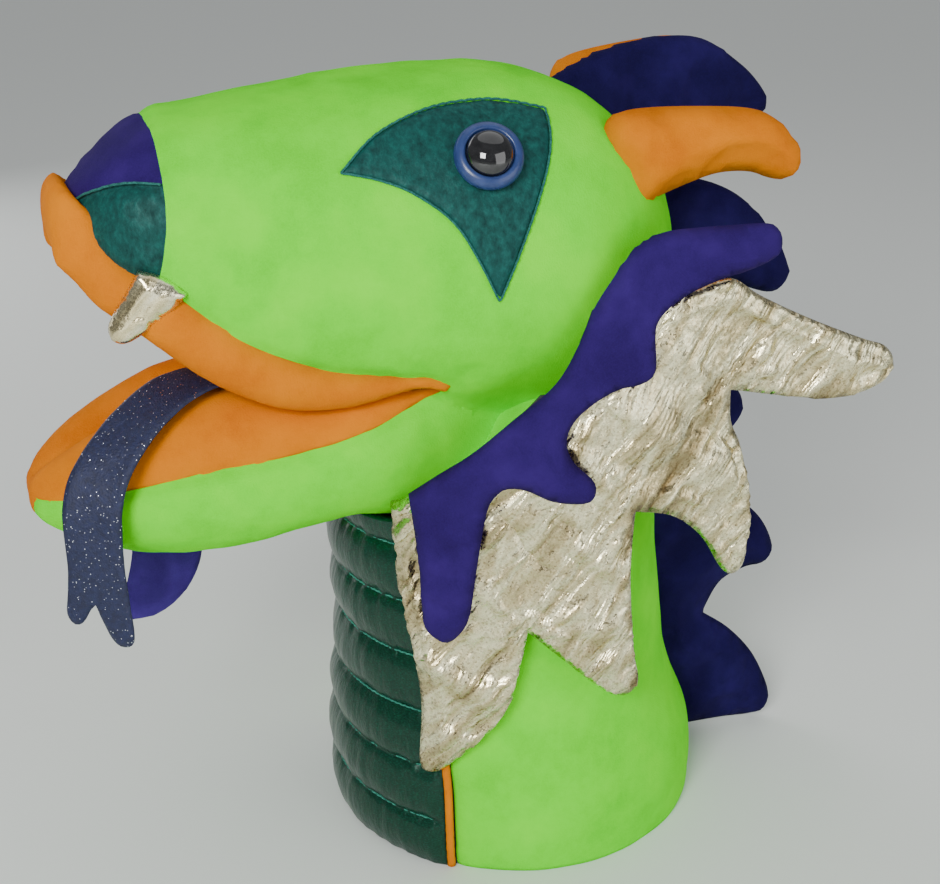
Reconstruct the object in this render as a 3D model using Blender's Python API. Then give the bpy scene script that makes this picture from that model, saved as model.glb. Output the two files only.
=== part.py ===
"""Dragon hand puppet with a moving mouth.

The puppet stands on the hem of its neck sleeve and faces -Y, with +Z up and its left side at +X.
A hand goes up the sleeve: four fingers fill a pocket in the snout and the thumb fills one in the jaw.
All design lengths below are in millimetres, measured from the middle of the hem.
"""

import math

import bmesh
import bpy
from mathutils import Matrix, Vector

MM = 0.001
GAP = 0.4  # free play between neighbouring pieces

# The hem's middle lies this far behind the middle of the whole puppet.
HEM_Y = 35.0

MOUTH_HINGE = (-60.0, 228.0)  # (y, z) of the mouth's corners, where the jaw turns

# Cross-sections of the head along y: (y, top z, bottom z, half width, z of the widest level)
HEAD_SECTIONS = [
    (68.0, 286.0, 260.0, 13.0, 273.0),
    (61.0, 303.0, 244.0, 33.0, 274.0),
    (48.0, 322.0, 226.0, 53.0, 275.0),
    (30.0, 339.0, 210.0, 67.0, 275.0),
    (8.0, 350.0, 201.0, 76.0, 275.0),
    (-16.0, 355.0, 200.0, 78.0, 275.0),
    (-40.0, 356.0, 207.0, 76.5, 274.0),
    (-60.0, 355.0, 229.0, 73.0, 275.0),
    (-88.0, 352.5, 233.0, 67.0, 279.0),
    (-113.0, 349.0, 239.0, 61.0, 284.0),
    (-138.0, 346.0, 249.5, 54.0, 289.0),
    (-158.0, 342.5, 262.0, 48.0, 294.0),
    (-173.0, 334.0, 269.0, 41.0, 298.0),
    (-185.0, 325.5, 277.0, 32.0, 301.0),
    (-195.0, 317.0, 289.0, 20.0, 304.0),
    (-200.0, 311.0, 297.0, 9.0, 304.0),
]
HEAD_POWER = 2.3
HEAD_WALL = 5.0

# Cross-sections of the lower jaw, in the same terms
JAW_SECTIONS = [
    (-64.0, 223.0, 171.0, 50.0, 203.0),
    (-84.0, 217.0, 165.0, 51.0, 199.0),
    (-110.0, 214.0, 160.5, 51.0, 196.0),
    (-136.0, 211.5, 158.0, 50.0, 194.0),
    (-160.0, 210.0, 157.5, 48.5, 193.0),
    (-182.0, 207.5, 161.5, 45.0, 191.0),
    (-200.0, 203.0, 168.0, 37.0, 189.0),
    (-213.0, 198.5, 175.0, 25.0, 187.5),
    (-220.0, 193.0, 181.5, 11.0, 187.0),
]
JAW_POWER = 2.4
JAW_WALL = 4.0

# Where plush meets mouth lining, from the corner of the mouth to the tip, as (y, z)
UPPER_SEAM = [(-60, 233), (-100, 240), (-133, 255), (-152, 269), (-166, 282), (-181, 288), (-194, 300)]
LOWER_SEAM = [(-62, 223), (-90, 213), (-115, 207), (-157, 201), (-177, 199), (-200, 193), (-222, 186)]
NOSE_Y = -162.0

# The sleeve: (z, y of the middle, outer radius)
NECK_SECTIONS = [
    (0.0, 0.0, 88.5),
    (25.0, 0.0, 89.0),
    (42.0, -1.5, 87.5),
    (62.0, -5.0, 83.0),
    (95.0, -7.7, 78.0),
    (150.0, -10.3, 76.6),
    (246.0, -10.0, 77.2),
]
NECK_WALL = 2.4
LINING_WALL = 1.2
HEM_WALL = 3.0
HEM_HEIGHT = 14.0
BELLY_HALF_ANGLE = math.radians(50.0)
PIPING_HALF_WIDTH = 1.8
CHANNEL_PITCH = 26.5
CHANNEL_BULGE = 1.8
# Rim of the sleeve seen from the side: high round the back of the head, low under the jaw
NECK_RIM = [(100, 234), (-18, 236), (-40, 214), (-56, 172), (-72, 154), (-110, 150)]

# Frills wrap a cylinder about the neck: s runs round it from the side of the neck, + to the back
FRILL_RADIUS = 89.5
GOLD_THICKNESS = 5.0
PURPLE_THICKNESS = 7.0
FRILL_PLAY = 1.5
FRILL_TUCK = 9.0  # how far the frills' inner edges lean in to the collar seam
TUCK_REACH = 20.0
TUCK_FADE = 36.0  # the lean dies away over this much of the front, where the neck fills the frill
SEAM_OFFSET = 268.0  # the collar seam climbs along z = s + this

EYE_CENTRE = (65.0, -39.0, 326.0)
EYE_UP = math.radians(33.0)
EYE_FORWARD = math.radians(9.0)
EYE_RIM_RADIUS = 13.8
PUPIL_RADIUS = 9.6
EYE_STEM_RADIUS = 3.0

FIN_THICKNESS = 16.0
BEARD_THICKNESS = 12.0
PATCH_THICKNESS = 1.6

# The hand's pockets are open at the back
FINGER_POCKET = (Vector((-38, -148, 276)), Vector((38, -66, 304)))
THUMB_POCKET = (Vector((-19, -142, 169)), Vector((19, -72, 195)))
POCKET_WALL = 2.0
BOARD_OFFSET = 0.7  # from the sewn edge to the mouth board
BOARD_THICKNESS = 2.0
TONGUE_THICKNESS = 2.4
TAPE_RADIUS = 1.6
TAPE_HALF_LENGTH = 46.0

HORN_TILT = 8.0  # degrees by which the right horn points higher than the left
HORN_SHIFT = (-4.0, 17.0, 11.0)  # the right horn's root is sewn on further back and higher
FAR = 120.0  # reaches past the puppet's sides

RING = 24  # points round a section of the head or jaw
NECK_RING = 36
QUARTER_TURN = math.radians(90.0)


# ---------------------------------------------------------------- basics


def clear_scene():
    for obj in list(bpy.data.objects):
        bpy.data.objects.remove(obj)


def make_material(name, colour, roughness, metallic=0.0):
    made = bpy.data.materials.new(name)
    made.use_nodes = True
    shader = made.node_tree.nodes["Principled BSDF"]
    shader.inputs["Base Color"].default_value = (*colour, 1.0)
    shader.inputs["Roughness"].default_value = roughness
    shader.inputs["Metallic"].default_value = metallic
    return made


def make_materials():
    return {
        "lime_plush": make_material("lime_plush", (0.22, 0.78, 0.06), 0.9),
        "orange_plush": make_material("orange_plush", (0.90, 0.27, 0.01), 0.9),
        "purple_plush": make_material("purple_plush", (0.09, 0.04, 0.36), 0.9),
        "teal_velvet": make_material("teal_velvet", (0.00, 0.13, 0.12), 0.6),
        "green_satin": make_material("green_satin", (0.00, 0.13, 0.08), 0.3, 0.4),
        "gold_lame": make_material("gold_lame", (0.66, 0.52, 0.26), 0.35, 0.9),
        "glitter_cloth": make_material("glitter_cloth", (0.03, 0.03, 0.20), 0.5),
        "blue_plastic": make_material("blue_plastic", (0.04, 0.07, 0.35), 0.3),
        "black_plastic": make_material("black_plastic", (0.01, 0.01, 0.01), 0.1),
        "lining_cloth": make_material("lining_cloth", (0.05, 0.05, 0.06), 0.9),
        "stuffing": make_material("stuffing", (0.85, 0.85, 0.82), 1.0),
        "mouth_board": make_material("mouth_board", (0.45, 0.36, 0.22), 0.8),
    }


class Puppet:
    """The collection, materials and root empty that every piece goes under."""

    def __init__(self):
        self.collection = bpy.data.collections.new("dragon_puppet")
        bpy.context.scene.collection.children.link(self.collection)
        self.materials = make_materials()
        self.root = bpy.data.objects.new("puppet_origin", None)
        self.root.location = (0.0, HEM_Y * MM, 0.0)
        self.collection.objects.link(self.root)

    def add(self, name, mesh, material):
        """Makes a named piece from a mesh in design millimetres."""
        mesh.name = name
        mesh.transform(Matrix.Scale(MM, 4))
        mesh.materials.clear()
        mesh.materials.append(self.materials[material])
        obj = bpy.data.objects.new(name, mesh)
        self.collection.objects.link(obj)
        obj.parent = self.root
        mesh.shade_smooth()
        mesh.set_sharp_from_angle(angle=math.radians(40))
        return obj


def mesh_of(bm):
    bmesh.ops.recalc_face_normals(bm, faces=bm.faces)
    if bm.calc_volume(signed=True) < 0:
        bmesh.ops.reverse_faces(bm, faces=bm.faces)
    mesh = bpy.data.meshes.new("work")
    bm.to_mesh(mesh)
    bm.free()
    return mesh


def combine(mesh, other, operation):
    """Boolean of two meshes in millimetres; returns a new mesh."""
    scene = bpy.context.scene.collection
    body = bpy.data.objects.new("body", mesh)
    cutter = bpy.data.objects.new("cutter", other)
    scene.objects.link(body)
    scene.objects.link(cutter)
    modifier = body.modifiers.new("cut", "BOOLEAN")
    modifier.operation = operation
    modifier.object = cutter
    modifier.solver = "EXACT"
    graph = bpy.context.evaluated_depsgraph_get()
    made = bpy.data.meshes.new_from_object(body.evaluated_get(graph))
    bpy.data.objects.remove(body)
    bpy.data.objects.remove(cutter)
    return made


def cut(mesh, *cutters):
    for cutter in cutters:
        mesh = combine(mesh, cutter, "DIFFERENCE")
    return mesh


def keep(mesh, block):
    return combine(mesh, block, "INTERSECT")


def moved(mesh, matrix):
    copy = mesh.copy()
    copy.transform(matrix)
    if matrix.determinant() < 0:
        copy.flip_normals()
    return copy


def mirrored(mesh):
    return moved(mesh, Matrix.Scale(-1.0, 4, (1.0, 0.0, 0.0)))


# ---------------------------------------------------------------- shapes


def smooth_run(points, steps):
    """An open Catmull-Rom curve through the points, which may have any number of coordinates."""
    ends = [points[0], *points, points[-1]]
    found = []
    for i in range(len(points) - 1):
        a, b, c, d = ends[i : i + 4]
        for k in range(steps):
            t = k / steps
            found.append(
                tuple(
                    0.5 * (2 * q + (r - p) * t + (2 * p - 5 * q + 4 * r - s) * t * t
                           + (3 * q - p - 3 * r + s) * t ** 3)
                    for p, q, r, s in zip(a, b, c, d)
                )
            )
    found.append(tuple(float(v) for v in points[-1]))
    return found


def outline(*runs, steps=2):
    """A closed outline of smooth runs that meet at corners; a run of two points is a straight line."""
    found = []
    for run in runs:
        found += (smooth_run(run, steps) if len(run) > 2 else run)[:-1]
    return found


def section_ring(section, grow, power, count):
    y, top, bottom, width, middle = section
    ring = []
    for k in range(count):
        angle = 2 * math.pi * k / count
        c, s = math.cos(angle), math.sin(angle)
        height = top - middle if s > 0 else middle - bottom
        x = math.copysign(abs(c) ** (2 / power), c) * (width + grow)
        z = middle + math.copysign(abs(s) ** (2 / power), s) * (height + grow)
        ring.append((x, y, z))
    return ring


def loft(rings):
    """A closed skin over rings of equal count, with a flat cap at each end."""
    bm = bmesh.new()
    rows = [[bm.verts.new(p) for p in ring] for ring in rings]
    count = len(rows[0])
    for a, b in zip(rows, rows[1:]):
        for k in range(count):
            n = (k + 1) % count
            bm.faces.new((a[k], a[n], b[n], b[k]))
    bm.faces.new(rows[0])
    bm.faces.new(rows[-1])
    return mesh_of(bm)


def section_loft(sections, power, grow=0.0, steps=1):
    """The head or jaw form, grown outwards by some millimetres."""
    fine = smooth_run(sections, steps) if steps > 1 else sections
    rings = [section_ring(s, grow, power, RING) for s in fine]
    first, last = rings[0], rings[-1]
    toward = math.copysign(1.0, fine[0][0] - fine[-1][0])
    rings[0] = [(x, y + toward * grow, z) for x, y, z in first]
    rings[-1] = [(x, y - toward * grow, z) for x, y, z in last]
    return loft(rings)


def head_form(grow=0.0):
    return section_loft(HEAD_SECTIONS, HEAD_POWER, grow)


def jaw_form(grow=0.0):
    return section_loft(JAW_SECTIONS, JAW_POWER, grow)


def neck_form(grow=0.0, low=0.0, high=0.0, bulge=0.0):
    """The sleeve's solid outer form; low and high stretch its ends, bulge adds quilted channels."""
    if bulge:
        top = NECK_SECTIONS[-1][0]
        steps = int(top / CHANNEL_PITCH * 4)
        levels = [neck_section(top * k / steps) for k in range(steps + 1)]
    else:
        levels = NECK_SECTIONS
    rings = []
    for i, (z, middle, radius) in enumerate(levels):
        if i == 0:
            z -= low
        if i == len(levels) - 1:
            z += high
        swell = bulge * abs(math.sin(math.pi * max(z, 0.0) / CHANNEL_PITCH)) ** 0.7
        r = radius + grow + swell
        ring = []
        for k in range(NECK_RING):
            angle = 2 * math.pi * k / NECK_RING
            ring.append((r * math.cos(angle), middle + r * math.sin(angle), z))
        rings.append(ring)
    return loft(rings)


def neck_section(z):
    """The sleeve's section at a height, read between the listed ones."""
    for low, high in zip(NECK_SECTIONS, NECK_SECTIONS[1:]):
        if z <= high[0]:
            t = (z - low[0]) / (high[0] - low[0])
            return (z, low[1] + t * (high[1] - low[1]), low[2] + t * (high[2] - low[2]))
    return NECK_SECTIONS[-1]


def curve_mesh(points, half_thickness):
    """A flat outline in the curve's XY plane, thickened along Z, as a welded mesh."""
    data = bpy.data.curves.new("outline", "CURVE")
    data.dimensions = "2D"
    data.fill_mode = "BOTH"
    data.extrude = half_thickness
    spline = data.splines.new("POLY")
    spline.points.add(len(points) - 1)
    for point, (a, b) in zip(spline.points, points):
        point.co = (a, b, 0.0, 1.0)
    spline.use_cyclic_u = True
    obj = bpy.data.objects.new("outline", data)
    bpy.context.scene.collection.objects.link(obj)
    graph = bpy.context.evaluated_depsgraph_get()
    mesh = bpy.data.meshes.new_from_object(obj.evaluated_get(graph))
    bpy.data.objects.remove(obj)
    bm = bmesh.new()
    bm.from_mesh(mesh)
    bmesh.ops.remove_doubles(bm, verts=bm.verts, dist=0.01)
    return mesh_of(bm)


SIDE_PLANE = Matrix(((0, 0, 1, 0), (1, 0, 0, 0), (0, 1, 0, 0), (0, 0, 0, 1)))


def side_plate(points, x, thickness):
    """An outline given as (y, z), thickened across x about the given x."""
    mesh = curve_mesh(points, thickness / 2)
    mesh.transform(Matrix.Translation((x, 0, 0)) @ SIDE_PLANE)
    return mesh


def box(low, high):
    bm = bmesh.new()
    bmesh.ops.create_cube(bm, size=1.0)
    low, high = Vector(low), Vector(high)
    bmesh.ops.scale(bm, vec=high - low, verts=bm.verts)
    bmesh.ops.translate(bm, vec=(low + high) / 2, verts=bm.verts)
    return mesh_of(bm)


def cylinder(radius, depth, matrix, segments=24, tip_radius=None):
    """A cylinder or cone whose base is at the matrix's origin and which runs along its Z."""
    bm = bmesh.new()
    bmesh.ops.create_cone(
        bm, cap_ends=True, segments=segments, radius1=radius,
        radius2=radius if tip_radius is None else tip_radius, depth=depth,
    )
    bmesh.ops.translate(bm, vec=(0, 0, depth / 2), verts=bm.verts)
    bm.transform(matrix)
    return mesh_of(bm)


def turned(profile, matrix, segments=24):
    """A profile of (radius, height) turned about the matrix's Z; it starts and ends on the axis."""
    inner = [p for p in profile if p[0] > 0]
    rings = []
    for radius, height in inner:
        rings.append([
            matrix @ Vector((radius * math.cos(2 * math.pi * k / segments),
                             radius * math.sin(2 * math.pi * k / segments), height))
            for k in range(segments)
        ])
    return loft(rings)


def below_curve(curve, depth, drop=0.0):
    """A block under a curve of (y, z), as wide as the puppet, for splitting plush from lining."""
    points = [(y, z - drop) for y, z in curve]
    front, back = points[-1], points[0]
    ahead, floor = front[0] - 20, back[1] - depth
    points += [(ahead, front[1] + 8 - drop), (ahead, floor), (back[0], floor)]
    return side_plate(points, 0.0, 2 * FAR)


# ---------------------------------------------------------------- neck


def wedge(angle_from, angle_to, low, high):
    """A block between two directions seen from above, measured from the front (-Y) towards +X."""
    reach = 160.0
    steps = 8
    points = [(0.0, -6.0)]
    for k in range(steps + 1):
        a = angle_from + (angle_to - angle_from) * k / steps
        points.append((reach * math.sin(a), -6.0 - reach * math.cos(a)))
    mesh = curve_mesh(points, (high - low) / 2)
    mesh.transform(Matrix.Translation((0, 0, (high + low) / 2)))
    return mesh


def above_rim(lift=0.0):
    points = [(y, z + lift) for y, z in NECK_RIM] + [(-140, 330), (130, 330)]
    return side_plate(points, 0.0, 2 * FAR)


def add_neck(puppet):
    seam = PIPING_HALF_WIDTH / NECK_SECTIONS[0][2]
    play = GAP / NECK_SECTIONS[-1][2]
    belly = BELLY_HALF_ANGLE
    everything = (-30.0, 300.0)

    front = wedge(-belly - seam, belly + seam, *everything)
    sleeve = cut(neck_form(), neck_form(-NECK_WALL, 5, 5), above_rim(), front)
    puppet.add("neck_sleeve", sleeve, "lime_plush")

    panel = cut(neck_form(0.5, bulge=CHANNEL_BULGE), neck_form(-NECK_WALL, 5, 5), above_rim(-0.5))
    panel = keep(panel, wedge(-belly + seam + play, belly - seam - play, *everything))
    puppet.add("belly_panel", panel, "green_satin")

    strip = cut(neck_form(2.0), neck_form(-NECK_WALL, 5, 5), above_rim(-0.5))
    strip = keep(strip, wedge(belly - seam + play, belly + seam - play, *everything))
    puppet.add("piping_right", mirrored(strip), "orange_plush")
    puppet.add("piping_left", strip, "orange_plush")

    outer = -NECK_WALL - GAP
    lining = cut(neck_form(outer), neck_form(outer - LINING_WALL, 5, 5), above_rim(-8.0))
    lining = cut(lining, box((-FAR, -FAR, -10), (FAR, FAR, HEM_HEIGHT + GAP)))
    puppet.add("sleeve_lining", lining, "lining_cloth")

    above_hem = box((-FAR, -FAR, HEM_HEIGHT), (FAR, FAR, 300))
    hem = cut(neck_form(outer), neck_form(outer - HEM_WALL, 5, 5), above_hem)
    puppet.add("hem_band", hem, "lining_cloth")

    scallops = outline(
        [(55, 208), (84, 209), (104, 203), (119, 190), (121, 178), (112, 168), (98, 161), (90, 150)],
        [(90, 150), (104, 143), (125, 130), (138, 117), (145, 102), (143, 94), (129, 92), (115, 86),
         (106, 70)],
        [(106, 70), (122, 58), (137, 41), (147, 22), (150, 11), (147, 3)],
        [(147, 3), (70, 3)],
        [(70, 3), (58, 100), (55, 208)],
    )
    ridge = cut(side_plate(scallops, 0.0, FIN_THICKNESS), neck_form(GAP, 5, 5))
    puppet.add("neck_ridge", ridge, "purple_plush")


# ---------------------------------------------------------------- frills


def add_pair(puppet, name, mesh, material):
    """Adds a left piece and its mirror image on the right."""
    puppet.add(name + "_right", mirrored(mesh), material)
    puppet.add(name + "_left", mesh, material)


def wrap(mesh, radius):
    """Bends a flat sheet, with s along X, z along Y and its thickness along Z, round the neck."""
    bm = bmesh.new()
    bm.from_mesh(mesh)
    for k in range(1, 6):
        cut_plane(bm, (-TUCK_FADE / 2 * k, 0, 0), (1, 0, 0))
    for k in range(1, 4):
        cut_plane(bm, (k * TUCK_REACH / 2 - SEAM_OFFSET, 0, 0), (1, -1, 0))
    bmesh.ops.triangulate(bm, faces=bm.faces)
    for vert in bm.verts:
        s, z, out = vert.co
        from_seam = max(0.0, (s - z + SEAM_OFFSET) / math.sqrt(2))
        room = min(1.0, max(0.0, 1.0 + s / TUCK_FADE))
        r = radius + out - FRILL_TUCK * room * math.exp(-((from_seam / TUCK_REACH) ** 2))
        if s >= 0:
            vert.co = (r, s, z)
        else:
            angle = s / radius
            vert.co = (r * math.cos(angle), r * math.sin(angle), z)
    return mesh_of(bm)


def cut_plane(bm, point, normal):
    geometry = bm.verts[:] + bm.edges[:] + bm.faces[:]
    bmesh.ops.bisect_plane(bm, geom=geometry, plane_co=point, plane_no=normal, dist=0.01)


def add_frills(puppet):
    gold = outline(
        [(20, 268), (42, 274), (57, 276), (72, 267), (94, 256), (120, 245), (131, 241), (137, 235),
         (137, 229), (131, 223), (110, 219), (84, 222), (61, 227)],
        [(61, 227), (62, 213), (68, 200), (74, 175), (74, 150), (67, 140), (50, 162), (34, 175), (16, 180)],
        [(16, 180), (15, 151), (18, 115), (22, 99), (18, 92), (4, 97), (-16, 115), (-29, 126)],
        [(-29, 126), (-32, 110), (-38, 88), (-50, 74), (-62, 62), (-72, 56), (-79, 62), (-76, 88), (-80, 116),
         (-87, 147), (-92, 181)],
        [(-92, 181), (-80, 197), (-45, 222), (-12, 247), (20, 268)],
    )
    purple = outline(
        [(-84, 190), (-55, 212), (-39, 225), (-21, 238), (-10, 252), (0, 268), (14, 287), (27, 296),
         (41, 298), (67, 299), (76, 293), (75, 284), (64, 280), (47, 277), (32, 270), (22, 260), (20, 243),
         (5, 236),
         (-8, 229), (-17, 217), (-14, 206), (-5, 196), (-7, 188), (-22, 190), (-41, 196), (-50, 185),
         (-54, 160), (-58, 134), (-67, 124), (-77, 133), (-79, 156), (-84, 190)],
    )
    under = wrap(curve_mesh(gold, GOLD_THICKNESS / 2), FRILL_RADIUS + GOLD_THICKNESS / 2)
    over_radius = FRILL_RADIUS + GOLD_THICKNESS + FRILL_PLAY + PURPLE_THICKNESS / 2
    over = wrap(curve_mesh(purple, PURPLE_THICKNESS / 2), over_radius)
    add_pair(puppet, "gold_frill", under, "gold_lame")
    add_pair(puppet, "purple_frill", over, "purple_plush")


# ---------------------------------------------------------------- head


def in_front_of(y):
    return box((-130, y - 200, 100), (130, y, 400))


def behind(y):
    return box((-130, y, 100), (130, y + 300, 400))


def eye_frame():
    """The left eye's place, with its Z pointing out of the head."""
    out = Vector((
        math.cos(EYE_UP) * math.cos(EYE_FORWARD),
        -math.cos(EYE_UP) * math.sin(EYE_FORWARD),
        math.sin(EYE_UP),
    ))
    return Matrix.Translation(EYE_CENTRE) @ out.to_track_quat("Z", "Y").to_matrix().to_4x4()


def add_head_shell(puppet):
    below_seam = below_curve(UPPER_SEAM, 120)
    eye_hole = cylinder(EYE_STEM_RADIUS + GAP, 60.0, eye_frame() @ Matrix.Translation((0, 0, -40)))
    hand_hole = box((-130, MOUTH_HINGE[0] - 60, 100), (130, 130, 222))
    hinge_room = box((-130, MOUTH_HINGE[0] - 4, 100), (130, MOUTH_HINGE[0] + 10, MOUTH_HINGE[1] + 5))

    shell = cut(head_form(), head_form(-HEAD_WALL), below_seam, in_front_of(NOSE_Y), hand_hole, hinge_room)
    shell = cut(shell, eye_hole, mirrored(eye_hole))
    puppet.add("head_skin", shell, "lime_plush")

    nose = cut(head_form(), below_curve(UPPER_SEAM, 120), behind(NOSE_Y - GAP))
    puppet.add("nose_cap", nose, "purple_plush")

    lip = keep(head_form(), below_curve(UPPER_SEAM, 120, drop=GAP))
    lip = cut(lip, behind(MOUTH_HINGE[0] - 4.0 - GAP))
    puppet.add("upper_mouth_lining", lip, "orange_plush")

    nostril_patch = outline(
        [(-163, 319), (-174, 319), (-182, 316), (-190, 310)],
        [(-190, 310), (-188, 301), (-182, 294), (-165, 287)],
        [(-165, 287), (-163, 319)],
    )
    patch = keep(cut(head_form(PATCH_THICKNESS), head_form(GAP)), side_plate(nostril_patch, 60.0, 100.0))
    add_pair(puppet, "nostril_patch", patch, "teal_velvet")


def pocket_mesh(low, high):
    """A pocket between two corners, open at the back."""
    wall = POCKET_WALL
    return cut(box(low, high), box(low + Vector((wall, wall, wall)), high + Vector((-wall, 10, -wall))))


def board_mesh(seam, first, second, width):
    """A mouth board along a sewn edge, between two heights above it."""
    points = [(y, z + first) for y, z in seam] + [(y, z + second) for y, z in reversed(seam)]
    return side_plate(points, 0.0, width)


def add_head_inside(puppet):
    puppet.add("finger_pocket", pocket_mesh(*FINGER_POCKET), "lining_cloth")

    low, high = FINGER_POCKET
    around_pocket = box(low - Vector((GAP, GAP, GAP)), high + Vector((GAP, 60, GAP)))
    filling = cut(
        head_form(-HEAD_WALL - GAP),
        below_curve([(y, z + 3.4) for y, z in UPPER_SEAM], 120),
        in_front_of(NOSE_Y + GAP),
        behind(-66.0),
        around_pocket,
    )
    puppet.add("snout_stuffing", filling, "stuffing")

    crown = keep(head_form(-HEAD_WALL - GAP), box((-90, -65.5, 322), (90, 60, 400)))
    washers = cylinder(11.0, 20.0, eye_frame() @ Matrix.Translation((0, 0, -26)))
    puppet.add("crown_stuffing", cut(crown, washers, mirrored(washers)), "stuffing")

    board = board_mesh(UPPER_SEAM[:4], BOARD_OFFSET, BOARD_OFFSET + BOARD_THICKNESS, 90.0)
    board = keep(board, head_form(-HEAD_WALL - GAP))
    puppet.add("upper_mouth_board", cut(board, behind(MOUTH_HINGE[0] - 5.0)), "mouth_board")


def add_eyes(puppet):
    frame = eye_frame()
    patch_shape = outline(
        [(-96, 321), (-80, 334), (-56, 343), (-30, 345), (-8, 341)],
        [(-8, 341), (-9, 332), (-16, 317), (-27, 295), (-38, 271)],
        [(-38, 271), (-44, 285), (-53, 300), (-67, 311), (-85, 318), (-96, 321)],
    )
    stem_hole = cylinder(EYE_STEM_RADIUS + GAP, 60.0, frame @ Matrix.Translation((0, 0, -40)))
    patch = keep(cut(head_form(PATCH_THICKNESS), head_form(GAP)), side_plate(patch_shape, 60.0, 100.0))
    add_pair(puppet, "eye_patch", cut(patch, stem_hole), "teal_velvet")

    seat = 2.4  # height of the eye's back above the plush, over the patch
    rim_height = 4.2
    rim_profile = [(EYE_STEM_RADIUS + GAP, seat), (EYE_RIM_RADIUS - 1.2, seat), (EYE_RIM_RADIUS, seat + 1.4),
                   (EYE_RIM_RADIUS - 0.8, seat + 3.2), (PUPIL_RADIUS, seat + rim_height),
                   (EYE_STEM_RADIUS + GAP, seat + rim_height)]
    bore = cylinder(EYE_STEM_RADIUS + GAP, 60.0, frame @ Matrix.Translation((0, 0, -10)))
    disc = turned([(EYE_RIM_RADIUS - 1.2, seat)] + rim_profile[2:5], frame)
    add_pair(puppet, "eye_rim", cut(disc, bore), "blue_plastic")

    dome_base = seat + rim_height + GAP
    dome = [(PUPIL_RADIUS * math.cos(a), dome_base + 6.4 * math.sin(a))
            for a in [math.radians(d) for d in (0, 18, 36, 54, 72, 86)]]
    stem_end = -16.0
    stem_at = frame @ Matrix.Translation((0, 0, stem_end))
    stem = cylinder(EYE_STEM_RADIUS, dome_base + 2.0 - stem_end, stem_at, 12)
    pupil = combine(turned(dome, frame), stem, "UNION")
    add_pair(puppet, "eye", pupil, "black_plastic")

    washer_at = frame @ Matrix.Translation((0, 0, -HEAD_WALL - 6.0))
    washer = cut(
        cylinder(9.0, 1.6, washer_at),
        cylinder(EYE_STEM_RADIUS + 0.05, 10.0, washer_at @ Matrix.Translation((0, 0, -4)), 12),
    )
    add_pair(puppet, "eye_washer", washer, "black_plastic")


def horn_mesh(tilt, shift):
    """A stuffed horn that runs back from the side of the crown, tilted up by some degrees."""
    root = Vector((48, 22, 318))
    spine = [(48, 22, 317), (50, 40, 321), (52, 60, 323), (54, 78, 321), (56, 92, 316), (57, 101, 311)]
    radii = [19.5, 19.0, 17.0, 14.5, 12.0, 7.0]
    turn = Matrix.Rotation(math.radians(tilt), 4, "X")
    rings = []
    line = [root + Vector(shift) + turn @ (Vector(p) - root) for p in spine]
    for i, (centre, radius) in enumerate(zip(line, radii)):
        ahead = line[min(i + 1, len(line) - 1)] - line[max(i - 1, 0)]
        across = ahead.to_track_quat("Z", "Y").to_matrix()
        rings.append([
            centre + across @ Vector((radius * math.cos(a), radius * math.sin(a), 0))
            for a in [2 * math.pi * k / 16 for k in range(16)]
        ])
    return cut(loft(rings), head_form(GAP))


def add_crown(puppet):
    puppet.add("horn_left", horn_mesh(0.0, (0.0, 0.0, 0.0)), "orange_plush")
    puppet.add("horn_right", mirrored(horn_mesh(HORN_TILT, HORN_SHIFT)), "orange_plush")

    crest_shape = outline(
        [(5, 340), (19, 349), (38, 357), (62, 362), (87, 361), (108, 349), (121, 336), (122, 326), (104, 318),
         (84, 310), (66, 302), (40, 300)],
        [(40, 300), (5, 340)],
    )
    nape_shape = outline(
        [(50, 298), (72, 297), (88, 298), (112, 288), (133, 267), (142, 250), (137, 241), (126, 242),
         (108, 249), (88, 251), (62, 255)],
        [(62, 255), (50, 298)],
    )
    for name, shape in (("crest_fin", crest_shape), ("nape_fin", nape_shape)):
        puppet.add(name, cut(side_plate(shape, 0.0, FIN_THICKNESS), head_form(GAP)), "purple_plush")

    lean = Vector((3, -11, -27)).to_track_quat("Z", "Y").to_matrix().to_4x4()
    fang = cylinder(9.5, 25.0, Matrix.Translation((49.5, -170, 282)) @ lean, 12, tip_radius=3.0)
    fang = cut(fang, head_form(GAP))
    add_pair(puppet, "fang", fang, "gold_lame")


# ---------------------------------------------------------------- jaw


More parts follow.
